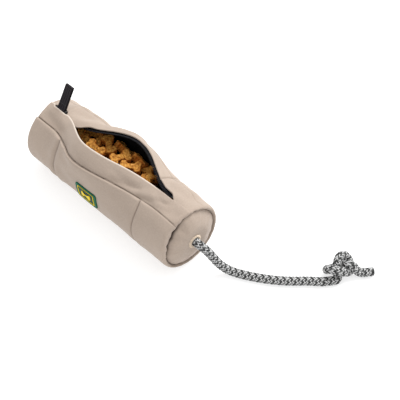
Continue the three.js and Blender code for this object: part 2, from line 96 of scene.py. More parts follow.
# The seams across the tube. slant is millimetres along the tube for a degree round it, and far is
# how plainly the seam shows on the far half.
Seam = namedtuple("Seam", "x slant shade_width groove_width depth puff far")
REAR_SEAM = Seam(x=-55, slant=0.0011, shade_width=1.1, groove_width=2.4, depth=1.5, puff=0.7, far=0.12)
FRONT_SEAM = Seam(x=50, slant=0.055, shade_width=0.6, groove_width=0.8, depth=1.1, puff=0.42, far=0.9)

# ---- Small tools ----------------------------------------------------------------------------


def smooth(t):
    t = np.clip(t, 0, 1)
    return t * t * (3 - 2 * t)


def bell(distance, width):
    return np.exp(-((distance / width) ** 2))


def value_noise(points, scale, seed):
    """Smooth noise from -1 to 1 at each row of points, in millimetres, with bumps about scale wide."""
    offset = Vector((seed * 17.3, seed * 5.1, seed * 9.7))
    return np.array([noise.noise(Vector(p) / scale + offset) for p in points])


def points_of(mesh):
    """The mesh's points, in millimetres."""
    return np.array([v.co for v in mesh.vertices]) / MM


def new_object(name, points, faces, materials):
    mesh = bpy.data.meshes.new(name)
    mesh.from_pydata((np.asarray(points, float) * MM).tolist(), [], [list(map(int, f)) for f in faces])
    mesh.polygons.foreach_set("use_smooth", [True] * len(mesh.polygons))
    mesh.update()
    piece = bpy.data.objects.new(name, mesh)
    bpy.context.scene.collection.objects.link(piece)
    for material in materials:
        mesh.materials.append(material)
    return piece


def fit(piece, slot, *nodes, body=None):
    """Puts the piece on its body and hides the CAD nodes that it replaces. slot is not used."""
    if body:
        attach(piece, body)
    if nodes:
        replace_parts(piece, *nodes)


def add_attribute(piece, name, values):
    values = np.asarray(values, np.float32)
    if values.ndim == 1:
        piece.data.attributes.new(name, "FLOAT", "POINT").data.foreach_set("value", values)
    else:
        layer = piece.data.attributes.new(name, "FLOAT_VECTOR", "POINT")
        layer.data.foreach_set("vector", values.ravel())


def grid_faces(rows, columns, close_rows=False, close_columns=False, start=0, flip=False):
    """Quads of a grid of points numbered row by row."""
    faces = []
    for i in range(rows if close_rows else rows - 1):
        for j in range(columns if close_columns else columns - 1):
            a, b = i * columns + j, i * columns + (j + 1) % columns
            c, d = (i + 1) % rows * columns + (j + 1) % columns, (i + 1) % rows * columns + j
            face = (a, d, c, b) if flip else (a, b, c, d)
            faces.append([start + k for k in face])
    return faces


def round_turn(count):
    """count angles evenly spaced round a turn, in radians."""
    return [2 * math.pi * k / count for k in range(count)]


def end_rings(rows, columns):
    """The numbers of a grid's first and last rows of points, to close its ends with."""
    return list(range(columns)), list(range((rows - 1) * columns, rows * columns))


def stations(low, high, step, fine, fine_step, reach):
    """Places from low to high, closer together within reach of each place in fine."""
    places, at = [low], low
    while at < high - 1e-6:
        near = any(abs(at - f) < reach for f in fine)
        at = min(high, at + (fine_step if near else step))
        places.append(at)
    return np.array(places)


def finished_mesh(piece):
    """Applies the piece's modifiers."""
    evaluated = piece.evaluated_get(bpy.context.evaluated_depsgraph_get())
    mesh = bpy.data.meshes.new_from_object(evaluated)
    piece.modifiers.clear()
    piece.data = mesh
    return piece


# ---- Materials ------------------------------------------------------------------------------


class Look:
    """A material, with short calls for the nodes that the looks below share."""

    def __init__(self, name, **sockets):
        self.material = bpy.data.materials.new(name)
        self.material.use_nodes = True
        self.nodes, self.links = self.material.node_tree.nodes, self.material.node_tree.links
        self.surface = self.nodes["Principled BSDF"]
        for socket, value in sockets.items():
            self.surface.inputs[socket.replace("_", " ")].default_value = value

    def put(self, socket, value):
        if isinstance(value, bpy.types.NodeSocket):
            self.links.new(value, socket)
        elif value is not None:
            socket.default_value = value

    def node(self, kind, inputs=(), **settings):
        made = self.nodes.new("ShaderNode" + kind)
        for key, value in settings.items():
            setattr(made, key, value)
        for key, value in dict(inputs).items():
            self.put(made.inputs[key], value)
        return made

    def math(self, operation, a, b=None):
        return self.node("Math", {0: a, 1: b}, operation=operation).outputs[0]

    def attribute(self, name, output="Vector"):
        return self.node("Attribute", attribute_name=name).outputs[output]

    def place(self):
        """The point on the piece, in millimetres."""
        at = self.node("TexCoord").outputs["Object"]
        return self.node("VectorMath", {0: at, "Scale": 1 / MM}, operation="SCALE").outputs[0]

    def noise(self, vector, size, detail=2.0, roughness=0.5):
        inputs = {"Vector": vector, "Scale": 1 / size, "Detail": detail, "Roughness": roughness}
        return self.node("TexNoise", inputs).outputs[0]

    def ramp(self, value, *stops):
        made = self.node("ValToRGB", {0: value})
        elements = made.color_ramp.elements
        while len(elements) < len(stops):
            elements.new(0.5)
        for element, (position, colour) in zip(elements, stops):
            element.position = position
            element.color = (*colour, 1) if isinstance(colour, tuple) else (colour, colour, colour, 1)
        return made.outputs[0]

    def mix(self, factor, a, b, blend="MIX"):
        made = self.node("Mix", data_type="RGBA", blend_type=blend)
        self.put(made.inputs[0], factor)
        self.put(made.inputs[6], a if isinstance(a, bpy.types.NodeSocket) else (*a, 1))
        self.put(made.inputs[7], b if isinstance(b, bpy.types.NodeSocket) else (*b, 1))
        return made.outputs[2]

    def bump(self, height, depth, strength=1.0, under=None):
        """depth is the height of the relief in millimetres."""
        inputs = {"Strength": strength, "Distance": depth * MM, "Height": height}
        if under is not None:
            inputs["Normal"] = under
        return self.node("Bump", inputs).outputs[0]

    def weave(self, vector, pitch):
        """The height of a plain weave whose threads are pitch apart along the vector's X and Y."""
        split = self.node("SeparateXYZ", {0: vector})
        waves = [
            self.math("SINE", self.math("MULTIPLY", split.outputs[k], math.pi / pitch)) for k in (0, 1)
        ]
        which = self.math("GREATER_THAN", self.math("MULTIPLY", *waves), 0.0)
        warp, weft = (self.math("ABSOLUTE", w) for w in waves)
        swap = self.math("SUBTRACT", 1.0, which)
        return self.math("ADD", self.math("MULTIPLY", warp, which), self.math("MULTIPLY", weft, swap))

    def rough(self, value, middle):
        return self.ramp(value, (0.3, middle - 0.08), (0.7, middle + 0.1))

    def finish(self, colour=None, roughness=None, normal=None):
        for socket, value in (("Base Color", colour), ("Roughness", roughness), ("Normal", normal)):
            if value is not None:
                self.put(self.surface.inputs[socket], value)
        return self.material


def canvas_look():
    look = Look("canvas", Sheen_Weight=0.12, Sheen_Roughness=0.5)
    cloth = look.attribute("cloth")
    threads = look.weave(cloth, 0.55)
    patches = look.noise(cloth, 38, 3)
    slubs = look.noise(cloth, 1.6, 2)
    base = look.ramp(patches, (0.3, (0.325, 0.255, 0.205)), (0.7, (0.37, 0.295, 0.24)))
    speckled = look.mix(look.ramp(slubs, (0.35, 0.0), (0.75, 0.35)), base, (0.46, 0.375, 0.305))
    # Darker between the threads: painted shade in the weave's gaps.
    cloth_tone = look.mix(look.ramp(threads, (0.0, 0.22), (0.6, 0.0)), speckled, (0.24, 0.185, 0.14))
    # The shade attribute: above 0, painted shade in the seams, in the ends' crease and on the skirt behind
    # it; below 0, a painted highlight along the near lip.
    seams = look.attribute("shade", "Fac")
    # Near black where the painted shade is full.
    painted_shade = look.ramp(seams, (0.1, 0.0), (0.8, 0.62), (1.0, 0.95))
    cloth_tone = look.mix(painted_shade, cloth_tone, (0.06, 0.04, 0.028))
    # A painted highlight: the canvas lighter along the near lip's fold.
    edges = look.math("MULTIPLY", seams, -1.0)
    cloth_tone = look.mix(look.ramp(edges, (0.1, 0.0), (1.0, 0.8)), cloth_tone, (0.66, 0.58, 0.5))
    fine = look.bump(threads, 0.09, 0.55)
    normal = look.bump(look.noise(cloth, 6, 3), 0.25, 0.3, fine)
    return look.finish(cloth_tone, look.ramp(slubs, (0.3, 0.72), (0.7, 0.86)), normal)


def black_cloth_look(name, pitch, colour, roughness, stripes=None):
    look = Look(name, Sheen_Weight=0.015, Sheen_Roughness=0.4, Specular_IOR_Level=0.14)
    cloth = look.attribute("cloth")
    threads = look.weave(cloth, pitch)
    # Lighter on the threads' crests and darker in the gaps: a painted highlight on the crests and painted
    # shade in the gaps.
    lighter = tuple(2.2 * c for c in colour)
    tone = look.ramp(threads, (0.1, colour), (0.9, lighter))
    # Stripes near black in the valleys between the webbing's ribs: painted shade.
    if stripes:
        across = look.node("SeparateXYZ", {0: cloth}).outputs[0]
        wave = look.math("SINE", look.math("MULTIPLY", across, math.pi / stripes))
        wave = look.math("ABSOLUTE", wave)
        tone = look.mix(look.ramp(wave, (0.1, 0.75), (0.6, 0.0)), tone, (0.0015, 0.001, 0.0015))
    rub = look.ramp(look.noise(cloth, 9, 3), (0.4, roughness), (0.7, roughness + 0.15))
    return look.finish(tone, rub, look.bump(threads, 0.15, 0.8))


def thread_look(name, colour, roughness=0.6):
    """Twisted thread: a fine fibrous noise from the piece's own place, in its tone and its bumps."""
    look = Look(name, Sheen_Weight=0.3, Sheen_Roughness=0.4)
    fibres = look.noise(look.place(), 0.35, 3, 0.7)
    dark = tuple(0.6 * c for c in colour)
    tone = look.ramp(fibres, (0.3, dark), (0.65, colour))
    return look.finish(tone, look.rough(fibres, roughness), look.bump(fibres, 0.12, 0.7))


def rubber_look(name, colour):
    look = Look(name, Specular_IOR_Level=0.2)
    at = look.place()
    grain = look.noise(at, 0.5, 3)
    wear = look.noise(at, 5, 4)
    dark = tuple(0.72 * c for c in colour)
    tone = look.ramp(wear, (0.3, dark), (0.65, colour))
    return look.finish(tone, look.rough(wear, 0.45), look.bump(grain, 0.05, 0.6))


def metal_look():
    look = Look("black_lacquer", Metallic=0.6, Coat_Weight=0.4, Coat_Roughness=0.2)
    at = look.place()
    wear = look.noise(at, 1.2, 4)
    tone = look.ramp(wear, (0.45, (0.02, 0.02, 0.022)), (0.8, (0.09, 0.088, 0.085)))
    return look.finish(tone, look.rough(wear, 0.38), look.bump(look.noise(at, 0.4), 0.02, 0.5))


def foam_look():
    look = Look("foam")
    cells = look.node("TexVoronoi", {"Vector": look.place(), "Scale": 1 / 0.9}).outputs["Distance"]
    tone = look.ramp(cells, (0.0, (0.72, 0.68, 0.58)), (0.8, (0.5, 0.46, 0.37)))
    return look.finish(tone, look.rough(cells, 0.85), look.bump(cells, 0.3, 0.7))


def biscuit_look():
    """Baked dough: pale on the flat faces, browner down the cut sides, with a crumbly skin, and painted
    shade low in the heap.
    """
    look = Look("biscuit", Specular_IOR_Level=0.15)
    at = look.attribute("dough")
    crumb = look.noise(at, 1.9, 5, 0.7)
    pits = look.noise(at, 2.8, 3, 0.6)
    blotch = look.noise(at, 5, 3)
    face = look.attribute("face", "Fac")
    top = look.ramp(blotch, (0.3, (0.48, 0.19, 0.026)), (0.7, (0.63, 0.3, 0.056)))
    side = look.ramp(blotch, (0.3, (0.4, 0.11, 0.009)), (0.7, (0.62, 0.21, 0.025)))
    baked = look.mix(look.ramp(face, (0.72, 0.0), (0.98, 1.0)), side, top)
    speckled = look.mix(look.ramp(crumb, (0.38, 0.9), (0.52, 0.0)), baked, (0.2, 0.05, 0.005))
    pale = look.mix(look.ramp(crumb, (0.54, 0.0), (0.68, 0.55)), speckled, (0.85, 0.5, 0.16))
    # Darker lower down: painted shade deep in the heap, by the height above the table.
    height = look.node("SeparateXYZ", {0: look.place()}).outputs[2]
    deep = look.ramp(look.math("DIVIDE", height, 100.0), (0.35, 0.2), (0.45, 1.0))
    shaded = look.mix(1.0, pale, deep, "MULTIPLY")
    skin = look.bump(crumb, 1.0, 1.0, look.bump(pits, 1.6, 1.0))
    return look.finish(shaded, look.ramp(blotch, (0.3, 0.5), (0.7, 0.75)), skin)


canvas = canvas_look()
lining = black_cloth_look("lining", 0.5, (0.004, 0.003, 0.003), 0.6)
zip_cloth = black_cloth_look("zip_tape", 0.7, (0.005, 0.005, 0.007), 0.65)
webbing = black_cloth_look("webbing", 0.9, (0.011, 0.009, 0.011), 0.7, stripes=2.5)
nylon = rubber_look("coil_nylon", (0.012, 0.012, 0.015))
patch_green = rubber_look("patch_green", (0.004, 0.11, 0.058))
patch_dark = rubber_look("patch_dark", (0.001, 0.04, 0.03))
patch_yellow = rubber_look("patch_yellow", (0.85, 0.62, 0.012))
lacquer = metal_look()
foam = foam_look()
cream = thread_look("cream_thread", (0.74, 0.61, 0.47))
black_thread = thread_look("black_thread", (0.03, 0.028, 0.03))
rope_black = thread_look("rope_black", (0.012, 0.013, 0.012), 0.6)
rope_grey = thread_look("rope_grey", (0.2, 0.205, 0.2), 0.6)
rope_white = thread_look("rope_white", (0.72, 0.72, 0.72), 0.6)
biscuit = biscuit_look()

# ---- Camera ---------------------------------------------------------------------------------

VIEW_AZIMUTH = math.radians(46.385)
VIEW_ELEVATION = math.radians(48.207)
VIEW_TARGET = Vector((47.14, 56.55, 0)) * MM
VIEW_DISTANCE = 1.3
LENS = 125.45


def add_camera():
    level = math.cos(VIEW_ELEVATION)
    toward = Vector(
        (math.sin(VIEW_AZIMUTH) * level, -math.cos(VIEW_AZIMUTH) * level, math.sin(VIEW_ELEVATION))
    )
    camera = bpy.data.objects.new("camera", bpy.data.cameras.new("camera"))
    camera.data.lens = LENS
    camera.location = VIEW_TARGET + toward * VIEW_DISTANCE
    camera.rotation_euler = toward.to_track_quat("Z", "Y").to_euler()
    bpy.context.scene.collection.objects.link(camera)
    bpy.context.scene.camera = camera


# ---- Rope -----------------------------------------------------------------------------------

ROPE_D = 8
STRANDS = 12  # each way round
YARNS = 2  # side by side in a strand
YARN_R = 0.4
YARN_SIDES = 6
BRAID_PITCH = 25  # one turn of a strand
BRAID_WAVE = 0.34  # a strand passes over and under the others by this much
BRAID_STEP = 0.8
ROPE_CORE_R = 2.9

# Middle line of the rope from the eyelet to the knot: out, down to the table and round towards +Y.
ROPE_ROUTE = [
    (101.8, 0, 32),
    (105.5, 0, 32),
    (109.5, 1.2, 30.2),
    (113.3, 3.4, 25.8),
    (117, 6, 19.5),
    (122, 9.5, 11.5),
    (128, 13.5, 6.2),
    (135, 17.6, 4.2),
    (143, 22, 4),
    (152, 27.6, 4),
    (161, 34, 4),
    (170, 41.5, 4),
    (178, 49.5, 4),
    (184.5, 56.5, 4),
]
KNOT_CENTRE = (199.1, 85.1, 9.8)
KNOT_SIZE = 4.4
KNOT_RISE = 5.7
KNOT_TURN = math.radians(80)
TAIL_END = (217, 106, 4)


def knot_route():
    """A trefoil with one lobe opened into two leads, lying on the table."""
    local = [(-4.2, 0.1, -1), (-3.1, -0.45, -1), (-2.2, -0.85, -1), (-1.45, -0.6, -0.9)]
    for degrees in range(480, 239, -15):
        t = math.radians(degrees)
        x, y = math.sin(t) + 2 * math.sin(2 * t), math.cos(t) - 2 * math.cos(2 * t)
        local.append((x, y, -math.sin(3 * t)))
    local += [(1.4, -0.5, 0.75), (2, -1.15, 0.35), (2.6, -1.6, -0.5)]
    local += [(3.2, -2.05, -0.97), (3.7, -2.42, -0.98)]
    turn = Matrix.Rotation(KNOT_TURN, 3, "Z")
    scaled = [Vector((x * KNOT_SIZE, y * KNOT_SIZE, z * KNOT_RISE)) for x, y, z in local]
    return [tuple(turn @ p + Vector(KNOT_CENTRE)) for p in scaled]


def curve_through(points, step):
    """Evenly spaced points on a smooth curve through the given ones (centripetal Catmull-Rom)."""
    p = np.array(points, float)
    p = np.vstack([2 * p[0] - p[1], p, 2 * p[-1] - p[-2]])
    fine = []
    for a, b, c, d in zip(p[:-3], p[1:-2], p[2:-1], p[3:]):
        gaps = [max(np.linalg.norm(w - v), 1e-6) ** 0.5 for v, w in ((a, b), (b, c), (c, d))]
        t = np.cumsum([0] + gaps)
        for u in np.linspace(t[1], t[2], 24, endpoint=False):
            ab = (t[1] - u) / (t[1] - t[0]) * a + (u - t[0]) / (t[1] - t[0]) * b
            bc = (t[2] - u) / (t[2] - t[1]) * b + (u - t[1]) / (t[2] - t[1]) * c
            cd = (t[3] - u) / (t[3] - t[2]) * c + (u - t[2]) / (t[3] - t[2]) * d
            abc = (t[2] - u) / (t[2] - t[0]) * ab + (u - t[0]) / (t[2] - t[0]) * bc
            bcd = (t[3] - u) / (t[3] - t[1]) * bc + (u - t[1]) / (t[3] - t[1]) * cd
            fine.append((t[2] - u) / (t[2] - t[1]) * abc + (u - t[1]) / (t[2] - t[1]) * bcd)
    fine = np.array(fine + [p[-2]])
    along = np.concatenate([[0], np.cumsum(np.linalg.norm(np.diff(fine, axis=0), axis=1))])
    at = np.linspace(0, along[-1], round(along[-1] / step) + 1)
    return np.stack([np.interp(at, along, fine[:, k]) for k in range(3)], axis=1), at


def frames_along(line):
    """Two directions across the line at each point, turning as little as they can."""
    tangent = np.gradient(line, axis=0)
    tangent /= np.linalg.norm(tangent, axis=1)[:, None]
    across = [np.cross(tangent[0], (0, 0, 1))]
    across[0] /= np.linalg.norm(across[0])
    for t in tangent[1:]:
        side = across[-1] - t * (across[-1] @ t)
        across.append(side / np.linalg.norm(side))
    across = np.array(across)
    return across, np.cross(tangent, across), tangent


def tube_mesh(line, radius, sides, start):
    """Rings round a line, with closed ends. radius is a number or one for each point."""
    across, up, _ = frames_along(line)
    radius = np.broadcast_to(radius, len(line))
    turn = np.linspace(0, 2 * math.pi, sides, endpoint=False)
    rings = (
        line[:, None]
        + radius[:, None, None] * np.cos(turn)[None, :, None] * across[:, None]
        + radius[:, None, None] * np.sin(turn)[None, :, None] * up[:, None]
    ).reshape(-1, 3)
    faces = grid_faces(len(line), sides, close_columns=True, start=start, flip=True)
    faces.append([start + k for k in range(sides)][::-1])
    faces.append([start + (len(line) - 1) * sides + k for k in range(sides)])
    return rings, faces


def tubes(name, runs, materials):
    """One piece of many tubes. runs lists (line, radius, sides, which material)."""
    points, faces, which, start = [], [], [], 0
    for line, radius, sides, material in runs:
        rings, quads = tube_mesh(line, radius, sides, start)
        start += len(rings)
        points.append(rings)
        faces.extend(quads)
        which.extend([material] * len(quads))
    piece = new_object(name, np.vstack(points), faces, materials)
    piece.data.polygons.foreach_set("material_index", which)
    return piece


# The yarns of three strands in a row, each way round: 0 black, 1 grey, 2 white.
YARN_COLOURS = {1: ((0, 0), (1, 2), (0, 2)), -1: ((0, 0), (2, 1), (0, 2))}


def braid(name, line, along):
    """A braided rope along the line: strands each way round, over two and under two, on a core."""
    runs = [(line, ROPE_CORE_R, 10, 0)]
    across, up, _ = frames_along(line)
    middle_r = ROPE_D / 2 - YARN_R - BRAID_WAVE / 2
    slant = math.atan2(2 * math.pi * middle_r, BRAID_PITCH)
    spacing = 2.02 * YARN_R / math.cos(slant) / middle_r  # radians between yarns
    for way in (1, -1):
        for strand in range(STRANDS):
            crossings = 2 * STRANDS * along / BRAID_PITCH
            phase = math.pi / 2 * (2 * strand + way * crossings) - math.pi / 4
            lift = way * BRAID_WAVE * np.clip(1.6 * np.cos(phase), -1, 1)
            for yarn in range(YARNS):
                turn = way * 2 * math.pi * along / BRAID_PITCH + 2 * math.pi * strand / STRANDS
                turn = turn + (yarn - (YARNS - 1) / 2) * spacing
                r = (middle_r + lift)[:, None]
                yarn_line = line + r * (np.cos(turn)[:, None] * across + np.sin(turn)[:, None] * up)
                runs.append((yarn_line, YARN_R, YARN_SIDES, YARN_COLOURS[way][strand % 3][yarn]))
    piece = tubes(name, runs, [rope_black, rope_grey, rope_white])
    fit(piece, "rope", body="pouch")
    return piece


def rope_end_cap(line):
    """The rope's end, melted to a dark rounded stub."""
    across, up, tangent = frames_along(line)
    rings, spokes, long = 7, 20, 1.9
    points = []
    for share in np.linspace(0, 1, rings):
        r = ROPE_D / 2 * math.sqrt(max(0.0004, 1 - share**2.6)) * 0.98
        centre = line[-1] + tangent[-1] * share * long
        for a in round_turn(spokes):
            ripple = 1 + 0.035 * math.sin(5 * a) * (1 - share)
            points.append(centre + r * ripple * (math.cos(a) * across[-1] + math.sin(a) * up[-1]))
    first, last = end_rings(rings, spokes)
    faces = grid_faces(rings, spokes, close_columns=True, flip=True) + [last, first[::-1]]
    cap = new_object("rope_end", points, faces, [rope_black])
    fit(cap, "rope", body="pouch")
    return cap


def add_rope():
    knot = knot_route()
    lead = np.array(knot[0]) - (np.array(knot[1]) - np.array(knot[0])) / 3
    whole = ROPE_ROUTE + [tuple(lead)] + knot + [TAIL_END]
    line, along = curve_through(whole, BRAID_STEP)
    line[:, 2] = np.maximum(line[:, 2], ROPE_D / 2)

    def nearest(point):
        return int(np.linalg.norm(line - np.array(point), axis=1).argmin())

    to_knot, from_knot = nearest(knot[0]), nearest(knot[-1])
    parts = {
        "rope": (0, to_knot + 1),
        "rope_knot": (to_knot, from_knot + 1),
        "rope_tail": (from_knot, len(line)),
    }
    made = {}
    for node, (first, last) in parts.items():
        made[node] = braid(node + "_braid", line[first:last], along[first:last])
        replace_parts(made[node], node)
    cap = rope_end_cap(line)


def add_stopper():
    """Behind the eyelet the rope runs into the pad and ends in a knot that can't pull through."""
    low, high = box_mm("rope_stopper_knot")
    reach = (high[1] - low[1]) / 2 - ROPE_D / 2 + 0.3
    start, back = high[0] + 0.4, low[0] + ROPE_D / 2
    route = [(start, 0, AXIS_Z), (start - 6, 0, AXIS_Z), (start - 12, 0, AXIS_Z)]
    for k in range(9):
        a = 2 * math.pi * k / 8
        x = back + 4 * (1 - k / 8)
        route.append((x, reach * math.sin(a), AXIS_Z + reach * math.cos(a) * 0.8))
    line, along = curve_through(route, 1.6)
    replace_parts(braid("stopper_knot_braid", line, along), "rope_stopper_knot")


# ---- Canvas ---------------------------------------------------------------------------------


class Wall:
    """One half of the tube. It opens by leaning out about a line low on its side."""

    def __init__(self, name, side, centre, reach, ramp):
        self.name, self.side, self.centre, self.reach, self.ramp = name, side, centre, reach, ramp
        fold = joint(name + "_wall_fold")
        self.body = fold["child"]
        self.hinge_y, self.hinge_z = (c / MM for c in fold["pos_m"][1:])
        self.open = math.radians(max(fold["range_deg"]))

    def weight(self, x, angle):
        """How much of the wall's lean a point takes: 1 at the middle of the lip, 0 at the ends."""
        reach = np.where(x < self.centre, *self.reach)
        along = np.clip((x - self.centre) / reach, -1, 1)
        up = smooth((angle - HINGE_ANGLE) / (180 - HINGE_ANGLE) / self.ramp)
        return np.cos(along * math.pi / 2) ** 2 * up

    def lean(self, points, weight):
        """Where points of the closed tube lie with the mouth open."""
        turn = -self.side * self.open * weight
        y, z = points[..., 1] - self.hinge_y, points[..., 2] - self.hinge_z
        out = points.copy()
        out[..., 1] = self.hinge_y + y * np.cos(turn) - z * np.sin(turn)
        out[..., 2] = self.hinge_z + y * np.sin(turn) + z * np.cos(turn)
        return out

    def blend(self, piece, weight):
        """The piece follows the pouch where weight is 0 and the wall where it is 1."""
        low = (0, self.hinge_y * MM, self.hinge_z * MM)
        high = (0, self.hinge_y * MM, (AXIS_Z + TUBE_R) * MM)
        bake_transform(piece, "pouch", self.body, start=low, end=high)
        layer = piece.data.attributes["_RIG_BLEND"].data
        layer.foreach_set("value", np.asarray(weight, np.float32).ravel())


near = Wall("near", -1, centre=-22, reach=(52, 90), ramp=0.72)
far = Wall("far", 1, centre=6, reach=(61, 62), ramp=1.0)

# Radius of the crease between the front rim and its disc, by the angle from the top towards +Y.
CREASE = [(-180, 30), (-136, 30.2), (-100, 27.6), (-84, 25.4), (-72, 26.3), (-58, 24.6), (-44, 26.4),
          (-31, 25.7), (-14, 28.7), (0, 29.6), (47, 28.3), (84, 29.7), (135, 30.2), (180, 30)]
GAPE_ANGLE = -48  # from the top, where the front crease gapes most
RIM_ROWS = 15


def crease_radius(angle, end):
    """angle is in degrees from the top, positive towards +Y; the rear end's puckers lie elsewhere."""
    if end > 0:
        return np.interp(angle, *zip(*CREASE))
    return 29 + 0.7 * np.cos(np.radians(3 * angle + 40)) + 0.4 * np.cos(np.radians(7 * angle))


def crease_gap(angle, end):
    """How far the crease gapes."""
    return 0.2 + (2.1 * bell(angle - GAPE_ANGLE, 40) if end > 0 else 0.3 * bell(angle - 60, 60))


def crease_shade(angle, end):
    """How much painted shade the crease gets: it opens at the upper near side of the front end."""
    return np.where(end > 0, 0.12 + 0.88 * bell(angle - GAPE_ANGLE, 52), 0.3)


def straight(places):
    """Length stations away from the ends."""
    return [(x, 0.0, 0) for x in places]


def length_stations():
    """Places along a half of the tube: (x, how far over the end's rim from 0 to 1, end)."""
    over = np.linspace(1.12, 0, RIM_ROWS, endpoint=False)
    seams = [REAR_SEAM.x, FRONT_SEAM.x - 2, FRONT_SEAM.x + 2]
    between = stations(-TUBE_HALF, TUBE_HALF, 1.25, seams, 0.45, 4)
    rear = [(-TUBE_HALF, v, -1) for v in over]
    front = [(TUBE_HALF, v, 1) for v in over[::-1]]
    return rear + straight(between) + front


def tube_shape(side, where, angle, lift, floor=0.03):
    """Points on the closed tube. where lists length stations; angle and lift have a row for each."""
    x, over, end = (np.array(c, float)[:, None] for c in zip(*where))
    from_top = side * (180 - angle)
    inner = np.where(end > 0, crease_radius(from_top, 1), crease_radius(from_top, -1))
    v = np.minimum(over, 1)
    r = TUBE_R - (TUBE_R - inner) * (1 - np.cos(math.pi * v)) / 2 + lift * (1 - 0.5 * v)
    out = (RIM_X - TUBE_HALF) * np.sin(math.pi * v) ** 0.9 - 2.4 * smooth((over - 0.7) / 0.42)
    out = out * np.where(end > 0, 1 - 0.5 * bell(from_top - GAPE_ANGLE, 44), 1)
    a = np.radians(angle)
    y = side * r * np.sin(a)
    z = np.maximum(AXIS_Z - r * np.cos(a), floor - np.minimum(lift, 0))
    return np.stack([x + end * out + 0 * a, y, z], axis=-1)


def ease_to(x, stops):
    """A value that changes smoothly along x between (x, value) stops."""
    xs, values = zip(*stops)
    k = np.clip(np.searchsorted(xs, x) - 1, 0, len(xs) - 2)
    xs, values = np.array(xs, float), np.array(values, float)
    return values[k] + (values[k + 1] - values[k]) * smooth((x - xs[k]) / (xs[k + 1] - xs[k]))


# Soft folds: ((x, angle) from, (x, angle) to, depth, width). A negative depth is a ridge.
NEAR_FOLDS = [
    ((-88, 160), (-58, 153), 2.0, 6),
    ((-84, 171), (-62, 165), -0.9, 5),
    ((-60, 160), (-40, 148), 0.9, 6),
    ((-82, 122), (-58, 98), 1.0, 8),
    ((-52, 143), (-30, 130), 1.1, 6),
    ((-46, 100), (-24, 74), 0.9, 7),
    ((18, 154), (50, 167), 1.4, 4),
    ((28, 169), (72, 157), -1.0, 5),
    ((30, 158), (44, 162), 0.7, 1.6),
    ((44, 150), (60, 156), 1.0, 2.2),
    ((60, 160), (74, 168), 0.8, 2),
    ((54, 152), (88, 161), 1.1, 4),
    ((60, 173), (90, 167), 0.9, 5),
    ((56, 102), (86, 114), 0.9, 8),
    ((8, 120), (46, 98), 0.8, 7),
    ((64, 136), (90, 128), -0.7, 6),
    ((-34, 160), (-8, 150), 0.5, 3),
    ((10, 168), (34, 162), 0.5, 2.5),
    ((-30, 118), (-6, 126), 0.5, 5),
]
FAR_FOLDS = [
    ((-76, 148), (-40, 150), -4.0, 14),
    ((-46, 160), (4, 158), -3.2, 7),
    ((58, 152), (80, 150), -4.4, 12),
    ((-68, 166), (-28, 148), 1.8, 5),
    ((-70, 158), (-58, 140), 0.9, 4),
    ((-58, 176), (-46, 171), -1.0, 4),
    ((30, 158), (50, 170), 1.0, 5),
    ((54, 168), (80, 158), 1.5, 6),
    ((62, 140), (88, 150), 1.0, 7),
    ((60, 177), (84, 172), -0.8, 4),
    ((-88, 130), (-60, 140), 0.8, 8),
    ((-20, 100), (20, 112), 0.6, 10),
]


def folds(x, angle, listed):
    """The height of all the folds at each place on the cloth."""
    total = np.zeros(np.broadcast(x, angle).shape)
    for (x0, a0), (x1, a1), depth, width in listed:
        dx, ds = x1 - x0, (a1 - a0) * ARC
        px, ps = x - x0, (angle - a0) * ARC
        t = (px * dx + ps * ds) / (dx * dx + ds * ds)
        away = np.hypot(px - np.clip(t, 0, 1) * dx, ps - np.clip(t, 0, 1) * ds)
        taper = smooth((t + 0.25) / 0.5) * smooth((1.25 - t) / 0.5)
        total -= depth * bell(away, width) * taper
    return total


def laid_flat(x, angle):
    """The points of the cloth laid flat, in rows of three."""
    return np.stack([x + 0 * angle, angle * ARC + 0 * x, 0 * x + 0 * angle], axis=-1).reshape(-1, 3)


def seam_angle(side, x):
    """Where the long side seam lies: it wanders a little."""
    return SIDE_SEAM + (1.2 * np.sin(x / 31) + 0.5 * np.sin(x / 11 + 1)) * (1 if side < 0 else 0.7)


def from_seam(seam, x, angle):
    """How far a place is along the tube from a seam across it, which slants and wavers."""
    return x - seam.x - seam.slant * (SIDE_SEAM - angle) - 1.2 * np.sin(angle / 17)


def over_seam(wall, x, angle):
    """How far a place is above the long side seam."""
    return (angle - seam_angle(wall.side, x)) * ARC


def seam_lines(wall, x, angle):
    """1 in the middle of a seam, 0 away from it: where painted shade darkens the cloth along the groove."""
    above = over_seam(wall, x, angle)
    dark = (0.85 if wall.side < 0 else 0.12) * bell(above - 0.2, 0.42)
    for seam in (REAR_SEAM, FRONT_SEAM):
        below = smooth((0.5 - above) / 1.5) if wall.side < 0 else seam.far
        dark = dark + 0.6 * below * bell(from_seam(seam, x, angle), seam.shade_width)
    return np.clip(dark, 0, 1)


def side_seam_relief(wall, x, above):
    """The lower panel puffs out under the long seam, and the upper one dips away over it."""
    strength = ease_to(x, [(-90, 1.0), (-50, 1.3), (20, 1.2), (60, 0.7), (90, 0.6)])
    strength = strength if wall.side < 0 else 0.3 * strength
    lower_edge = 1.05 * bell(np.minimum(above + 1.2, 0), 4.5) * (above < 0.25)
    upper_dip = -1.0 * np.exp(-np.maximum(above, 0) / 5) * (above >= 0.25)
    groove = -1.2 * bell(above - 0.15, 0.55)
    return strength * (lower_edge + upper_dip + groove)


def cross_seam_relief(wall, seam, x, angle, above):
    """A groove between two puffed edges, below the long seam on the near half."""
    off = from_seam(seam, x, angle)
    below = smooth((0.5 - above) / 3) if wall.side < 0 else seam.far
    puff = seam.puff * bell(np.abs(off) - 5, 4)
    return below * (puff - seam.depth * bell(off, seam.groove_width))


SLIDER_STOPS = (-78, 62)  # where the slider lies under the canvas, open and closed
SLIDER_CLEAR = 0.1  # the canvas there stands out of the plain tube at least this much


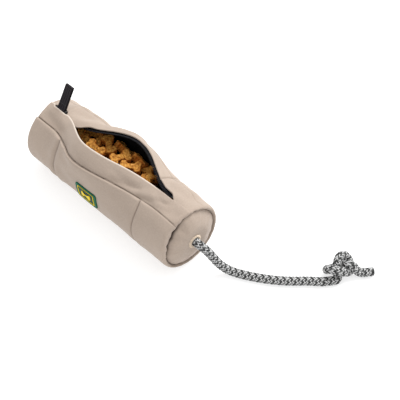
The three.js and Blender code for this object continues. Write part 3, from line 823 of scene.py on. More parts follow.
def relief(wall, x, angle):
    """How far the canvas stands out of the plain tube: seams, puffed panels, folds and ripples."""
    above = over_seam(wall, x, angle)
    height = side_seam_relief(wall, x, above)
    for seam in (REAR_SEAM, FRONT_SEAM):
        height += cross_seam_relief(wall, seam, x, angle, above)
    height += folds(x, angle, NEAR_FOLDS if wall.side < 0 else FAR_FOLDS)
    flat = laid_flat(x, angle)
    ripple = 0.55 * value_noise(flat, 24, 1 + wall.side) + 0.16 * value_noise(flat, 7, 3 + wall.side)
    height = (height + ripple.reshape(height.shape)) * smooth(angle / 30)
    parked = np.maximum(*(smooth((11 - np.abs(x - at)) / 3) for at in SLIDER_STOPS))
    held_up = parked * smooth((angle - 164) / 6)
    return height + held_up * np.maximum(SLIDER_CLEAR - height, 0)


# How high the folded edge stands over the plain tube, and how far it stops short of the middle, as
# (x, millimetres) stops. Behind the mouth both edges lie over the zip, and past it they meet on top.
LIP_LIFT = {
    "near": [(-92, 2.0), (-87, 3.5), (-73, 3.5), (-66, 3.4),
             (48, 3.2), (56, 2.7), (70, 2.6), (80, 0.8)],
    "far": [(-92, 0.6), (-87, 2.0), (-72, 2.0), (-68, 1.0), (-54, 1.0), (-46, 0.4), (92, 0.0)],
}
LIP_Y = {
    "near": [(-92, 0.3), (-88, 0.3), (-85, 2.6), (-72, 2.6), (-66, 1.2),
             (18, 1.2), (57, 2.6), (70, 2.6), (79, 0.3)],
    "far": [(-92, -1.5), (-88, -1.2), (-85, 2.8), (-72, 2.8), (-68, -2.5), (-60, -4.2),
            (-54, -4.2), (-41, 3.2), (-20, 3.8), (10, 4.8), (66, 4.8), (78, -2)],
}
LIP_REACH = 34  # degrees below the edge where it begins to rise


def lip_angle(wall, x):
    """Where round the tube the canvas folds over."""
    short = ease_to(x, LIP_Y[wall.name])
    return 180 - np.degrees(np.arcsin(short / (TUBE_R + 2)))


def lip_rise(wall, x, angle):
    share = (angle - lip_angle(wall, x) + LIP_REACH) / LIP_REACH
    return ease_to(x, LIP_LIFT[wall.name]) * np.clip(share, 0, 1) ** 2.2


def dents(wall, x, angle):
    """How far the canvas is pressed in: what lies under it goes in as far."""
    return np.minimum(relief(wall, x, angle) + 0.3, 0)


HEM = 7  # the cloth turned under the lip
LIP_BASE = 170  # degrees up to which the rows of points are level


def canvas_section(wall, x):
    """Angles and lifts of the cloth from the bottom up to its lip, over the fold and down the hem."""
    lip = lip_angle(wall, x)
    base = stations(0, LIP_BASE, 2.2, [SIDE_SEAM], 0.7, 5.5) + 0 * x
    angle = np.hstack([base, LIP_BASE + (lip - LIP_BASE) * np.linspace(0, 1, 8)[1:]])
    lift = relief(wall, x, angle)
    lift += lip_rise(wall, x, angle)
    turns = np.linspace(0, math.pi, 8)[1:]
    fold_angle = lip + FOLD_R * np.sin(turns) / ARC
    fold_lift = lift[:, -1:] - FOLD_R * (1 - np.cos(turns))
    hem_angle = lip - np.linspace(0, HEM, 7)[1:] / ARC
    hem_lift = relief(wall, x, hem_angle) + lip_rise(wall, x, hem_angle) - 2 * FOLD_R - 0.1
    return np.hstack([angle, fold_angle, hem_angle]), np.hstack([lift, fold_lift, hem_lift])


def canvas_shade(wall, x, over, angle):
    """Painted shade in the seams and the end's crease. Below 0 it is a painted highlight along the near
    lip's thin edge.
    """
    # Painted shade deep in the crease, where the canvas turns in at the ends.
    deep = crease_shade(wall.side * (180 - angle), np.sign(x)) * smooth((over - 0.6) / 0.2)
    dark = np.maximum(seam_lines(wall, x, angle), deep)
    # A painted highlight along the near lip's fold, fading towards the front.
    edge = bell((angle - lip_angle(wall, x)) * ARC - 0.2, 0.75) * (1 - 0.85 * smooth((x - 46) / 16))
    edge = edge if wall.side < 0 else 0.15 * edge
    return dark - np.where(over > 0.6, 0, edge)


def add_canvas(wall):
    where = length_stations()
    x, over = (np.array(c)[:, None] for c in list(zip(*where))[:2])
    angle, lift = canvas_section(wall, x)
    lift = lift * (1 - 0.6 * smooth(over))
    points = tube_shape(wall.side, where, angle, lift)
    puckers = 0.35 * np.sin(np.radians(angle * 23)) * smooth((over - 0.25) / 0.5) * (over < 1.05)
    points[..., 0] += np.sign(x) * puckers
    weight = wall.weight(x, np.minimum(angle, lip_angle(wall, x)))
    piece = new_object(
        wall.name + "_canvas",
        wall.lean(points, weight).reshape(-1, 3),
        grid_faces(*angle.shape, flip=wall.side < 0),
        [canvas],
    )
    add_attribute(piece, "cloth", laid_flat(x + over * 8 * np.sign(x), angle))
    add_attribute(piece, "shade", canvas_shade(wall, x, over, angle).ravel())
    wall.blend(piece, weight)
    fit(piece, "canvas")
    return piece


def add_lining(wall):
    x = stations(-LINING_END_X, LINING_END_X, 3, [], 1, 1)[:, None]
    angle = np.linspace(0, 168, 60)[None] + 0 * x
    flat = laid_flat(x, angle)
    lift = -LINING_DEPTH - 0.45 + 0.3 * value_noise(flat, 13, 8).reshape(angle.shape)
    lift += dents(wall, x, angle) - 0.9 * smooth((angle - 140) / 20) * smooth((168 - angle) / 12)
    weight = wall.weight(x, angle)
    points = wall.lean(tube_shape(wall.side, straight(x[:, 0]), angle, lift), weight)
    faces = grid_faces(*angle.shape, flip=wall.side > 0)
    piece = new_object(wall.name + "_lining", points.reshape(-1, 3), faces, [lining])
    add_attribute(piece, "cloth", flat)
    wall.blend(piece, weight)
    fit(piece, "lining")
    return piece


# ---- Ends -----------------------------------------------------------------------------------

PAD_NECK_X = 86.2  # the foam beyond here fits within the disc's crease
DISC_RINGS = 44
DISC_SPOKES = 120
CLOTH_FRAMES = 15
FILLING_MOVES = 1.2  # the simulation moves no point further than this


def disc_points(x_at, radius_at, hole):
    """Rings of points from the hole out. x_at and radius_at take the share of the radius and angles."""
    angle = np.linspace(-180, 180, DISC_SPOKES, endpoint=False)[None]
    share = hole + (1 - hole) * np.linspace(0, 1, DISC_RINGS)[:, None] ** 0.8
    r = share * radius_at(angle)
    a = np.radians(angle)
    points = np.stack([x_at(share, angle), r * np.sin(a), AXIS_Z + r * np.cos(a)], axis=-1)
    flat = np.stack([r * np.sin(a), r * np.cos(a), 0 * r], axis=-1)
    return points, flat


def evened(grid, times):
    """The grid of moves without its smallest ripples. Its columns close on themselves."""
    for _ in range(times):
        grid = (np.roll(grid, 1, 1) + 2 * grid + np.roll(grid, -1, 1)) / 4
        grid[1:-1] = (grid[:-2] + 2 * grid[1:-1] + grid[2:]) / 4
    return grid


def filled_out(piece, held):
    """The padded piece as its filling pushes it out, from a cloth simulation; held points stay."""
    shape = points_of(piece.data)
    group = piece.vertex_groups.new(name="held")
    group.add([int(k) for k in np.flatnonzero(held)], 1.0, "REPLACE")
    cloth = piece.modifiers.new("cloth", "CLOTH")
    settings = cloth.settings
    settings.quality = 5
    settings.mass = 0.3
    settings.tension_stiffness = settings.compression_stiffness = 12
    settings.bending_stiffness = 0.3
    settings.shrink_min = -0.03
    settings.use_pressure = True
    settings.uniform_pressure_force = 2.5
    settings.vertex_group_mass = "held"
    settings.effector_weights.gravity = 0
    scene = bpy.context.scene
    for number in range(1, CLOTH_FRAMES + 1):
        scene.frame_set(number)
    finished_mesh(piece)
    scene.frame_set(1)
    moved = points_of(piece.data) - shape
    moved = evened(moved.reshape(*held.shape, 3), 5).reshape(-1, 3)
    size = np.linalg.norm(moved, axis=1)[:, None]
    moved *= np.minimum(1, FILLING_MOVES / np.maximum(size, 1e-6))
    piece.data.vertices.foreach_set("co", ((shape + moved) * MM).ravel())
    piece.data.update()


def with_skirt(points, turn, end):
    """The disc's points and two rows more, which turn in behind the crease."""
    under, away = crease_radius(turn, end) + 0.6, np.radians(turn)
    skirt = np.stack([points[-1, :, 0], under * np.sin(away), AXIS_Z + under * np.cos(away)], axis=-1)
    side = points[-1].copy()
    side[:, 0] -= end * 1.6
    skirt[:, 0] -= end * 2.8
    points = np.concatenate([points, side[None], skirt[None]])
    points[..., 2] = np.maximum(points[..., 2], 0.4)
    return points


def add_end_disc(name, end, node):
    """A padded canvas disc, drawn into small puckers along its seam."""
    hole = 0.15 if end > 0 else 0.001
    crease_x = TUBE_HALF + 0.3

    def radius_at(angle):
        return crease_radius(angle, end) - crease_gap(angle, end)

    def x_at(share, angle):
        shoulder = np.clip(1 - share**3.4, 0, 1) ** 0.62
        dome = crease_x + (DOME_X + 0.1 - crease_x) * (0.8 * shoulder + 0.2 * (1 - share**2))
        pucker = np.sin(np.radians(17 * angle)) + 0.7 * np.sin(np.radians(29 * angle + 60))
        soft = 0.35 * np.cos(np.radians(2 * angle + 30)) * share**2 * (1 - share)
        return end * (dome + 0.32 * pucker * share**9 * (1.02 - share) * 10 + soft)

    points, flat = disc_points(x_at, radius_at, hole)
    turn = np.linspace(-180, 180, points.shape[1], endpoint=False)
    points = with_skirt(points, turn, end)
    flat = np.concatenate([flat, flat[-1:] * 1.05, flat[-1:] * 1.1])
    rows, columns = points.shape[:2]
    faces = grid_faces(rows, columns, close_columns=True, flip=end < 0)
    if end < 0:
        faces.append(end_rings(rows, columns)[0][::-1])
    piece = new_object(name, points.reshape(-1, 3), faces, [canvas])
    add_attribute(piece, "cloth", flat.reshape(-1, 3))
    edge = np.linspace(0, 1, rows)[:, None] + np.zeros((1, columns))
    # Painted shade along the crease, and full painted shade on the skirt rows that turn in behind it.
    dark = crease_shade(turn, end) * smooth((edge - 0.9) / 0.06)
    add_attribute(piece, "shade", np.maximum(dark, edge > 0.97).ravel())
    filled_out(piece, held=(edge > 0.94) | (edge < 0.03))
    fit(piece, "canvas", node, body="pouch")


def add_pad(name, end, node, material, slot, back_x, front_x, radius):
    """A closed pad inside an end: crowned faces and a rounded edge."""
    edge = np.linspace(-math.pi / 2, math.pi / 2, 9)
    profile = [(0.02, back_x), *[(s, back_x - 0.6 * (1 - s)) for s in (0.3, 0.6, 0.85)]]
    middle, half = (back_x + front_x) / 2, abs(front_x - back_x) / 2
    profile += [(0.9 + 0.1 * math.cos(e), middle + half * math.sin(e)) for e in edge]
    profile += [(s, front_x + (DOME_X - 3 - front_x) * 0.5 * (1 - s)) for s in (0.8, 0.55, 0.3, 0.02)]
    spokes, points = 64, []
    for share, x in profile:
        for a in round_turn(spokes):
            lumpy = radius * share * (1 + 0.012 * math.sin(5 * a) + 0.008 * math.sin(9 * a + 1))
            if abs(x) > PAD_NECK_X:
                turn = (math.degrees(a) + 180) % 360 - 180
                lumpy = min(lumpy, crease_radius(turn, end) - crease_gap(turn, end) - 1.2)
            points.append((end * x, lumpy * math.sin(a), max(1.9, AXIS_Z + lumpy * math.cos(a))))
    count = len(profile)
    faces = grid_faces(count, spokes, close_columns=True, flip=end < 0)
    first, last = end_rings(count, spokes)
    faces += [first, last[::-1]] if end < 0 else [first[::-1], last]
    piece = new_object(name, points, faces, [material])
    add_attribute(piece, "cloth", [(p[1], p[2], 0) for p in points])
    fit(piece, slot, node, body="pouch")
    return piece


def add_ends():
    add_end_disc("front_end", 1, "front_disc")
    add_end_disc("rear_end", -1, "rear_disc")
    for name, end in (("front", 1), ("rear", -1)):
        size = {"back_x": 87, "front_x": 91, "radius": 27}
        pad = add_pad(name + "_foam", end, name + "_pad", foam, "foam", **size)
        size = {"back_x": 85.4, "front_x": 86, "radius": 29.6}
        disc = add_pad(name + "_lining_end", end, name + "_lining_disc", lining, "lining", **size)


# ---- Zip ------------------------------------------------------------------------------------

TAPE_EDGE_Y = 2.4  # from the tube's middle to the tape, with the mouth closed
TAPE_OUTER = 163.5  # the tape's other edge, round the tube
TAPE_COLUMNS = 12
TOOTH_PITCH = 1.5
TOOTH = (0.42, 1.15, 0.62)  # half sizes along x, y and z
COIL_Z = 62.95
SLIDER_POSTS = (-73.7, 66.3)  # the post between the slider's plates, open and closed
COIL_SPREAD = 0.6  # the coils part round it


def tape_end_angle():
    """Where round the tube the tape ends beside the coil."""
    return 180 - math.degrees(math.asin(TAPE_EDGE_Y / (TUBE_R - LINING_DEPTH)))


def add_tape(wall, nodes):
    """A woven tape sewn under the canvas's edge, with a finished selvedge beside the coil."""
    low, high = box_mm("zip_tape_rear")[0][0], box_mm("zip_tape_front")[1][0]
    x = stations(low, high, 2, [], 1, 1)[:, None]
    across = np.linspace(TAPE_OUTER, tape_end_angle(), TAPE_COLUMNS)
    angle = np.hstack([across, across[::-1]])[None] + 0 * x
    top, under = np.full(TAPE_COLUMNS, -1.55), np.full(TAPE_COLUMNS, -2.05)
    top[[0, -1]] -= 0.15
    under[[0, -1]] += 0.15
    lift = np.hstack([top, under])[None] + 0 * x
    lift += dents(wall, x, angle)
    weight = wall.weight(x, angle)
    points = wall.lean(tube_shape(wall.side, straight(x[:, 0]), angle, lift), weight)
    faces = grid_faces(*angle.shape, close_columns=True, flip=wall.side < 0)
    first, last = end_rings(*angle.shape)
    faces += [first[::-1], last] if wall.side > 0 else [first, last[::-1]]
    piece = new_object(wall.name + "_tape", points.reshape(-1, 3), faces, [zip_cloth])
    add_attribute(piece, "cloth", laid_flat(x, angle))
    wall.blend(piece, weight)
    fit(piece, "zip", *nodes)


def tooth_shape():
    """One turn of the coil: a ball squared off a little, as a grid of points, and its faces."""
    rings, spokes = 6, 8
    polar = np.linspace(0.12, math.pi - 0.12, rings)[:, None]
    turn = np.array(round_turn(spokes))[None]
    x, z = np.sin(polar) * np.cos(turn), np.sin(polar) * np.sin(turn)
    unit = np.stack([x, np.cos(polar) + 0 * turn, z], axis=-1).reshape(-1, 3)
    first, last = end_rings(rings, spokes)
    faces = grid_faces(rings, spokes, close_columns=True) + [first[::-1], last]
    return np.sign(unit) * np.abs(unit) ** 0.75 * np.array(TOOTH), faces


def add_coil(wall, node):
    """The coil's turns, each a small flattened loop sewn to the tape's edge."""
    low, high = box_mm("zip_tape_rear")[0][0] + 2, box_mm("zip_top_stop_near")[0][0] - 1
    shift = 0 if wall.side < 0 else TOOTH_PITCH / 2
    shape, quads = tooth_shape()
    points, faces, weights = [], [], []
    for at in np.arange(low + shift, high, TOOTH_PITCH):
        apart = COIL_SPREAD * max(bell(at - post, 2.2) for post in SLIDER_POSTS)
        tooth = shape + (at, wall.side * (TOOTH[1] + 0.12 + apart), COIL_Z)
        tooth[:, 0] += 0.25 * (shape[:, 1] / TOOTH[1]) * wall.side
        weight = np.full(len(tooth), float(wall.weight(np.array(at), np.array(tape_end_angle()))))
        faces += [[len(shape) * len(points) + k for k in q] for q in quads]
        points.append(wall.lean(tooth, weight))
        weights.append(weight)
    piece = new_object(wall.name + "_coil", np.vstack(points), faces, [nylon])
    wall.blend(piece, np.concatenate(weights))
    fit(piece, "zip", node)


PULL_LEAN = math.radians(29)
PULL_LENGTH = 24.6
PULL_EYE_R = 1.75  # round the bail's bar
PULL_JOIN = 4.2  # from the bar to where its layers meet
LAYER_OFF = 0.78  # of each layer's middle from the pull's own
LAYER_HALF = 0.42


def pull_path():
    """The webbing's middle line (along the pull, out of it): up, round the bar and back."""
    path = [(s, LAYER_OFF) for s in np.linspace(PULL_LENGTH, PULL_JOIN, 26)]
    bend = np.linspace(math.radians(28), math.radians(332), 16)
    path += [(PULL_EYE_R * math.cos(b), PULL_EYE_R * math.sin(b)) for b in bend]
    path += [(s, -LAYER_OFF) for s in np.linspace(PULL_JOIN, PULL_LENGTH, 26)]
    return np.array(path)


def webbing_faces(rows, columns):
    """The two faces of a strip of webbing, its selvedges and its cut ends."""
    back = rows * columns
    faces = grid_faces(rows, columns) + grid_faces(rows, columns, start=back, flip=True)

    def edge(a, b, turned):
        faces.append((a, b, b + back, a + back) if turned else (b, a, a + back, b + back))

    for start in range(0, back - columns, columns):
        edge(start, start + columns, True)
        edge(start + columns - 1, start + 2 * columns - 1, False)
    for j in range(columns - 1):
        edge(j, j + 1, False)
        edge(back - columns + j, back - columns + j + 1, True)
    return faces


def add_pull():
    """Ribbed webbing folded round the bail's bar, its two layers stitched together."""
    low, high = box_mm("pull_ribbon")
    hinge = np.array(joint("pull_swing")["pos_m"]) / MM
    half_width = (high[0] - low[0]) / 2
    along = np.array([0, math.sin(PULL_LEAN), math.cos(PULL_LEAN)])
    out = np.array([0, math.cos(PULL_LEAN), -math.sin(PULL_LEAN)])
    path = pull_path()
    step = np.gradient(path, axis=0)
    step /= np.linalg.norm(step, axis=1)[:, None]
    normal = np.stack([step[:, 1], -step[:, 0]], axis=1)
    across = np.linspace(-1, 1, 41)
    ribs = 0.3 * np.abs(np.sin(across * math.pi * 2)) ** 0.6 - 0.3 * np.abs(across) ** 14
    travelled = np.concatenate([[0], np.cumsum(np.linalg.norm(np.diff(path, axis=0), axis=1))])
    points, cloth = [], []
    for face in (1, -1):
        for p, n, s in zip(path, normal, travelled):
            frayed = half_width * (1 + 0.006 * math.sin(s * 5))
            for u, rib in zip(across, ribs):
                q = p - face * n * (LAYER_HALF + rib)
                points.append(hinge + along * q[0] + out * q[1] + (u * frayed, 0, 0))
                cloth.append((u * half_width, s, 0))
    piece = new_object("pull_webbing", points, webbing_faces(len(path), len(across)), [webbing])
    add_attribute(piece, "cloth", cloth)
    fit(piece, "webbing", "pull_ribbon", body="pull")
    lines = []
    for side in (1, -1):
        lift = LAYER_OFF + LAYER_HALF + 0.2
        for row in (6.0, 22.5):
            for k in range(6):
                start = hinge + along * row + out * side * lift + (1.5 * (k - 2.5) - 0.55, 0, 0)
                lines.append((start, start + (1.1, 0, 0), out * side))
    stitches("pull_stitches", lines, black_thread, "webbing", "pull")


THREAD_R = 0.16


def stitches(name, lines, material, slot, body):
    """One piece of thread for each (from, to, outwards) in lines."""
    t = np.linspace(0, 1, 5)
    arch = np.sin(math.pi * t)
    runs = []
    for start, end, outwards in lines:
        line = start + (end - start) * t[:, None] + outwards * THREAD_R * arch[:, None]
        runs.append((line, THREAD_R * (0.75 + 0.25 * arch), 6, 0))
    fit(tubes(name, runs, [material]), slot, body=body)


def add_metal():
    """The slider, its bail and the zip's stops are the CAD's own, with softened edges."""
    stops = ("zip_bottom_stop", "zip_top_stop_near", "zip_top_stop_far")
    for node in ("slider_body", "slider_bail", *stops):
        piece = frame["nodes"][node]
        piece.data.materials.clear()
        piece.data.materials.append(lacquer)
        bevel = piece.modifiers.new("edges", "BEVEL")
        bevel.width = 0.18 * MM
        bevel.segments = 2
        bevel.angle_limit = math.radians(40)


# ---- Patch ----------------------------------------------------------------------------------

PATCH_ANGLE = 92.0
PATCH_HALF_UP = 9.3
PATCH_CORNER = 2.6
PLAQUE_POINTS = 96


def on_canvas(wall, x, angle, lift):
    """Points that stand lift above the relieved canvas with the mouth open, and their weights."""
    weight = wall.weight(x, angle)
    height = relief(wall, x, angle) + lift
    a = np.radians(angle)
    r = TUBE_R + height
    points = np.stack([x + 0 * a, wall.side * r * np.sin(a), AXIS_Z - r * np.cos(a)], axis=-1)
    return wall.lean(points, weight), weight


def outline_points(half_x, half_y, corner, steps=6):
    """A rectangle with rounded corners, anticlockwise."""
    points = []
    for sx, sy, start in ((1, 1, 0), (-1, 1, 90), (-1, -1, 180), (1, -1, 270)):
        for k in range(steps + 1):
            a = math.radians(start + 90 * k / steps)
            x, y = sx * (half_x - corner), sy * (half_y - corner)
            points.append((x + corner * math.cos(a), y + corner * math.sin(a)))
    return points


def evenly(outline, count):
    """count points evenly spaced round a closed outline."""
    p = np.array(list(outline) + [outline[0]], float)
    along = np.concatenate([[0], np.cumsum(np.linalg.norm(np.diff(p, axis=0), axis=1))])
    at = np.linspace(0, along[-1], count, endpoint=False)
    return np.stack([np.interp(at, along, p[:, k]) for k in range(2)], axis=1)


def plaque(name, outline, profile, material, slot, middle, *nodes, hollow=False):
    """A low moulding on the near wall. profile lists (inset share, lift) rings, foot first."""
    shape = evenly(outline, PLAQUE_POINTS)
    flat = np.concatenate([shape * (1 - inset) for inset, _ in profile])
    lift = np.repeat([height for _, height in profile], PLAQUE_POINTS)
    points, weight = on_canvas(near, middle + flat[:, 0], PATCH_ANGLE + flat[:, 1] / ARC, lift)
    faces = grid_faces(len(profile), PLAQUE_POINTS, close_columns=True, close_rows=hollow)
    if not hollow:
        first, last = end_rings(len(profile), PLAQUE_POINTS)
        faces += [last, first[::-1]]
    piece = new_object(name, points, faces, [material])
    near.blend(piece, weight)
    fit(piece, slot, *nodes)


def bone_outline(length, lobe, spread):
    """The outline of a bone: a bar with two round lobes at each end, anticlockwise."""
    x, y = length / 2 - lobe, lobe * spread
    points = []
    arcs = ((x, y, -20, 205), (-x, y, -25, 200), (-x, -y, 160, 385), (x, -y, 155, 380))
    for cx, cy, start, stop in arcs:
        for k in range(13):
            a = math.radians(start + (stop - start) * k / 12)
            points.append((cx + lobe * math.cos(a), cy + lobe * math.sin(a)))
    return points


def add_patch():
    low, high = box_mm("patch_base")
    middle, half_x, half_y = (low[0] + high[0]) / 2, (high[0] - low[0]) / 2, PATCH_HALF_UP
    body = outline_points(half_x, half_y, PATCH_CORNER)
    rings = [(0, -0.4), (0, 0.9), (0.012, 1.2), (0.035, 1.38), (0.07, 1.42), (0.12, 1.4), (0.15, 1.3)]
    rings += [(0.17, 1.0), (0.4, 1.0), (0.7, 1.0)]
    plaque("patch_body", body, rings, patch_green, "patch_green", middle, "patch_base")
    line = outline_points(half_x * 0.78, half_y * 0.74, 1.1)
    rings = [(0, 0.8), (0.005, 1.4), (0.018, 1.55), (0.055, 1.55), (0.068, 1.4), (0.073, 0.8)]
    plaque("patch_line", line, rings, patch_yellow, "patch_yellow", middle, "patch_frame", hollow=True)
    field = outline_points(half_x * 0.66, half_y * 0.57, 1.2)
    rings = [(0, 0.8), (0.01, 1.12), (0.04, 1.2), (0.5, 1.2)]
    plaque("patch_field", field, rings, patch_dark, "patch_green", middle)
    bone = bone_outline(12, 1.6, 0.92)
    rings = [(0, 1.0), (0.01, 1.5), (0.06, 1.72), (0.2, 1.78), (0.5, 1.78), (0.8, 1.78)]
    plaque("patch_bone", bone, rings, patch_yellow, "patch_yellow", middle, "patch_icon")


# ---- Eyelets --------------------------------------------------------------------------------


EYELET_INNER_R = 4.35
EYELET_STITCHES = 78


def add_eyelet(name, node, face):
    """A hole bound with thread: a padded ring under close radial stitches."""
    low, high = box_mm(node)
    outer = (high[1] - low[1]) / 2 + 0.2
    base_x = (low[0] if face > 0 else high[0]) - 0.3 * face
    runs = []
    rng = random.Random(5)
    for a in round_turn(EYELET_STITCHES):
        out = outer + rng.uniform(-0.25, 0.25)
        skew = rng.uniform(-0.012, 0.012)
        line = []
        for t in np.linspace(0, 1, 9):
            r = EYELET_INNER_R + (out - EYELET_INNER_R) * t
            height = 1.25 * math.sin(math.pi * min(1, 0.12 + 0.88 * t)) ** 0.7 if t < 1 else 0.1
            turn = a + skew * t
            line.append((base_x + face * height, r * math.sin(turn), AXIS_Z + r * math.cos(turn)))
        runs.append((np.array(line), 0.27, 6, 0))
    fit(tubes(name, runs, [cream]), "eyelet", node, body="pouch")


# ---- Treats ---------------------------------------------------------------------------------

def thickness_axis(mesh):
    """The direction that a treat's two flat faces look in."""
    spread = sum((p.area * np.outer(p.normal, p.normal) for p in mesh.polygons), np.zeros((3, 3)))
    values, vectors = np.linalg.eigh(spread)
    return vectors[:, values.argmax()]


def treat_axes(node):
    """A CAD treat's middle, and the directions of its length, width and thickness."""
    source = frame["nodes"][node].data
    thick = thickness_axis(source)
    points = points_of(source)
    centred = points - points.mean(0)
    centred = centred - np.outer(centred @ thick, thick)
    values, vectors = np.linalg.eigh(centred.T @ centred)
    long = vectors[:, values.argmax()]
    low, high = box_mm(node)
    return (low + high) / 2, long, np.cross(thick, long), thick


def baked(name, source, voxel, seed):
    """A copy of a mesh, swollen and roughened as dough is in the oven."""
    piece = bpy.data.objects.new(name, source.copy())
    bpy.context.scene.collection.objects.link(piece)
    remesh = piece.modifiers.new("remesh", "REMESH")
    remesh.mode = "VOXEL"
    remesh.voxel_size = voxel * MM
    soften = piece.modifiers.new("soften", "SMOOTH")
    soften.factor, soften.iterations = 0.5, max(2, round(1.9 / voxel))
    finished_mesh(piece)
    mesh = piece.data
    points = points_of(mesh)
    normals = np.array([v.normal for v in mesh.vertices])
    local = points - points.mean(0)
    lumps = 0.32 * value_noise(local, 3.2, seed) + 0.16 * value_noise(local, 1.1, seed + 4)
    points = points + normals * (0.15 + lumps)[:, None]
    mesh.vertices.foreach_set("co", (points * MM).ravel())
    mesh.polygons.foreach_set("use_smooth", [True] * len(mesh.polygons))
    mesh.materials.clear()
    mesh.materials.append(biscuit)
    mesh.update()
    add_attribute(piece, "face", np.abs(normals @ thickness_axis(source)))
    add_attribute(piece, "dough", local + seed * 31.7)
    return piece


BALL_R = 3.25  # six such balls fill a treat
BALL_SPOTS = [(6.4, 3.1), (6.4, -3.1), (-6.4, 3.1), (-6.4, -3.1), (2.3, 0), (-2.3, 0)]
HEAP_X = (-80, 70)
HEAP_HALF_WIDTH = 27
HEAP_FLOOR = 34
LINING_R = 30  # inside the lining
TREAT_TRIES = 2400


def ball_places(length_way, width_way):
    """Middles of the balls that fill a treat, from its own middle."""
    return np.array([u * length_way + v * width_way for u, v in BALL_SPOTS])


def heap_top(y):
    """How high the heap may reach: it falls away to both sides."""
    return 56 - 7 * smooth((y - 4) / 22) - 3.5 * smooth((-y - 12) / 14)


def resting_height(balls, x, y, placed):
    """How high a treat's middle lies when it comes down on the heap's floor, lining or treats."""
    wall = np.sqrt((LINING_R - BALL_R) ** 2 - (balls[:, 1] + y) ** 2)
    z = max(HEAP_FLOOR - balls[:, 2].min(), float((AXIS_Z - wall - balls[:, 2]).max()))
    if len(placed):
        apart = balls[:, None, :2] + (x, y) - placed[None, :, :2]
        gap = (2 * BALL_R - 0.15) ** 2 - (apart**2).sum(-1)
        if (gap > 0).any():
            need = placed[None, :, 2] + np.sqrt(np.maximum(gap, 0)) - balls[:, None, 2]
            z = max(z, float(need[gap > 0].max()))
    return z


def settle(rng, placed, fixed):
    """A treat dropped at random on the heap: (turn, middle, its balls), or None if it won't fit."""
    heading = rng.uniform(0, math.pi)
    roll = Matrix.Rotation(rng.uniform(-0.75, 0.75), 3, "X")
    tilt = roll @ Matrix.Rotation(rng.uniform(-0.5, 0.5), 3, "Y")
    turn = Matrix.Rotation(heading, 3, "Z") @ tilt
    balls = ball_places(np.array(turn @ Vector((1, 0, 0))), np.array(turn @ Vector((0, 1, 0))))
    x, y = rng.uniform(*HEAP_X), rng.uniform(-HEAP_HALF_WIDTH, HEAP_HALF_WIDTH)
    if np.abs(balls[:, 1] + y).max() > 29 - BALL_R:
        return None
    middle = np.array([x, y, resting_height(balls, x, y, placed)])
    moved = balls + middle
    from_axis = np.hypot(moved[:, 1], moved[:, 2] - AXIS_Z).max()
    if moved[:, 2].max() + BALL_R > heap_top(y) or from_axis > 30.5 - BALL_R:
        return None
    if np.linalg.norm(moved[:, None] - fixed[None], axis=2).min() < 2 * BALL_R - 0.35:
        return None
    return turn, middle, moved


def add_treats():
    nodes = sorted(n for n in frame["nodes"] if n.startswith("treat_") and n != "treat_bed")
    fixed = []
    for i, node in enumerate(nodes):
        piece = baked(node + "_baked", frame["nodes"][node].data, 0.42, i)
        fit(piece, "treat", node, body="pouch")
        middle, long, wide, _ = treat_axes(node)
        fixed.append(middle + ball_places(long, wide))
    heap(nodes, np.vstack(fixed))


def template(node, seed):
    """A coarser treat for the heap: points along its own axes, faces, and its face attribute."""
    piece = baked("template", frame["nodes"][node].data, 0.75, seed)
    middle, *axes = treat_axes(node)
    own = (points_of(piece.data) - middle) @ np.array(axes).T
    polygons = [list(p.vertices) for p in piece.data.polygons]
    face = np.zeros(len(own), np.float32)
    piece.data.attributes["face"].data.foreach_get("value", face)
    bpy.data.objects.remove(piece)
    return own, polygons, face


def heap(nodes, fixed):
    """Loose treats between and under the others, from the CAD treats' own shape."""
    templates = [template(node, 40 + i) for i, node in enumerate(nodes[:4])]
    rng = random.Random(11)
    placed = np.zeros((0, 3))
    points, faces, dough, crust = [], [], [], []
    for _ in range(TREAT_TRIES):
        found = settle(rng, placed, fixed)
        if found is None:
            continue
        turn, middle, moved = found
        placed = np.vstack([placed, moved])
        own, polygons, face = templates[rng.randrange(len(templates))]
        start = sum(map(len, points))
        points.append(own @ np.array(turn).T + middle)
        faces += [[start + k for k in p] for p in polygons]
        dough.append(own + 50 * len(points))
        crust.append(face)
    piece = new_object("loose_treats", np.vstack(points), faces, [biscuit])
    add_attribute(piece, "face", np.concatenate(crust))
    add_attribute(piece, "dough", np.vstack(dough))
    fit(piece, "treat", "treat_bed", body="pouch")


# ---- Studio ---------------------------------------------------------------------------------

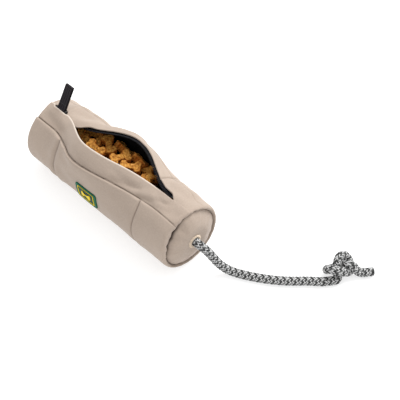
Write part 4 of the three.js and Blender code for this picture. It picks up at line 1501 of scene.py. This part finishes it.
FLOOR_GLOW = 0.62  # a light table: what stands on it throws hardly any shadow
WORLD_LIGHT = 1.0
KEY_PLACE = (0.12, 1.2, 1.75)  # metres
KEY_SIZE = 1.1
KEY_POWER = 45


def add_floor():
    look = Look("floor", Roughness=0.9, Emission_Color=(1, 1, 1, 1), Emission_Strength=FLOOR_GLOW)
    tone = look.ramp(look.noise(look.place(), 90, 2), (0.3, 0.49), (0.7, 0.51))
    size = 3000
    corners = [(-size, -size, -0.1), (size, -size, -0.1), (size, size, -0.1), (-size, size, -0.1)]
    new_object("floor", corners, [(0, 1, 2, 3)], [look.finish(tone)])


def add_key_light():
    lamp = bpy.data.lights.new("key", "AREA")
    lamp.shape, lamp.size, lamp.energy = "DISK", KEY_SIZE, KEY_POWER
    light = bpy.data.objects.new("key", lamp)
    light.location = KEY_PLACE
    light.rotation_euler = Vector(KEY_PLACE).to_track_quat("Z", "Y").to_euler()
    bpy.context.scene.collection.objects.link(light)


def add_studio():
    add_floor()
    world = bpy.data.worlds.new("studio")
    bpy.context.scene.world = world
    world.use_nodes = True
    background = world.node_tree.nodes["Background"]
    background.inputs["Color"].default_value = (1, 1, 1, 1)
    background.inputs["Strength"].default_value = WORLD_LIGHT
    add_key_light()
    bpy.context.scene.view_settings.view_transform = "Standard"


# ---- The pouch ------------------------------------------------------------------------------

add_camera()
add_rope()
add_stopper()
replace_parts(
    add_canvas(near),
    "lower_panel", "rear_lower_panel", "front_lower_panel", "near_side_panel", "near_top_panel",
)
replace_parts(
    add_canvas(far),
    "far_side_panel", "far_top_panel", "rear_top_panel", "front_top_panel", "front_rim", "rear_rim",
)
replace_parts(add_lining(near), "lining_near", "lining_base")
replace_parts(add_lining(far), "lining_far", "lining_front", "lining_rear")
add_ends()
add_tape(near, ["zip_tape_near", "zip_tape_rear"])
add_tape(far, ["zip_tape_far", "zip_tape_front"])
add_coil(near, "zip_coil_near")
add_coil(far, "zip_coil_far")
add_pull()
add_metal()
add_patch()
add_eyelet("eyelet_front_stitches", "eyelet_front", 1)
add_eyelet("eyelet_back_stitches", "eyelet_back", -1)
add_treats()
add_studio()
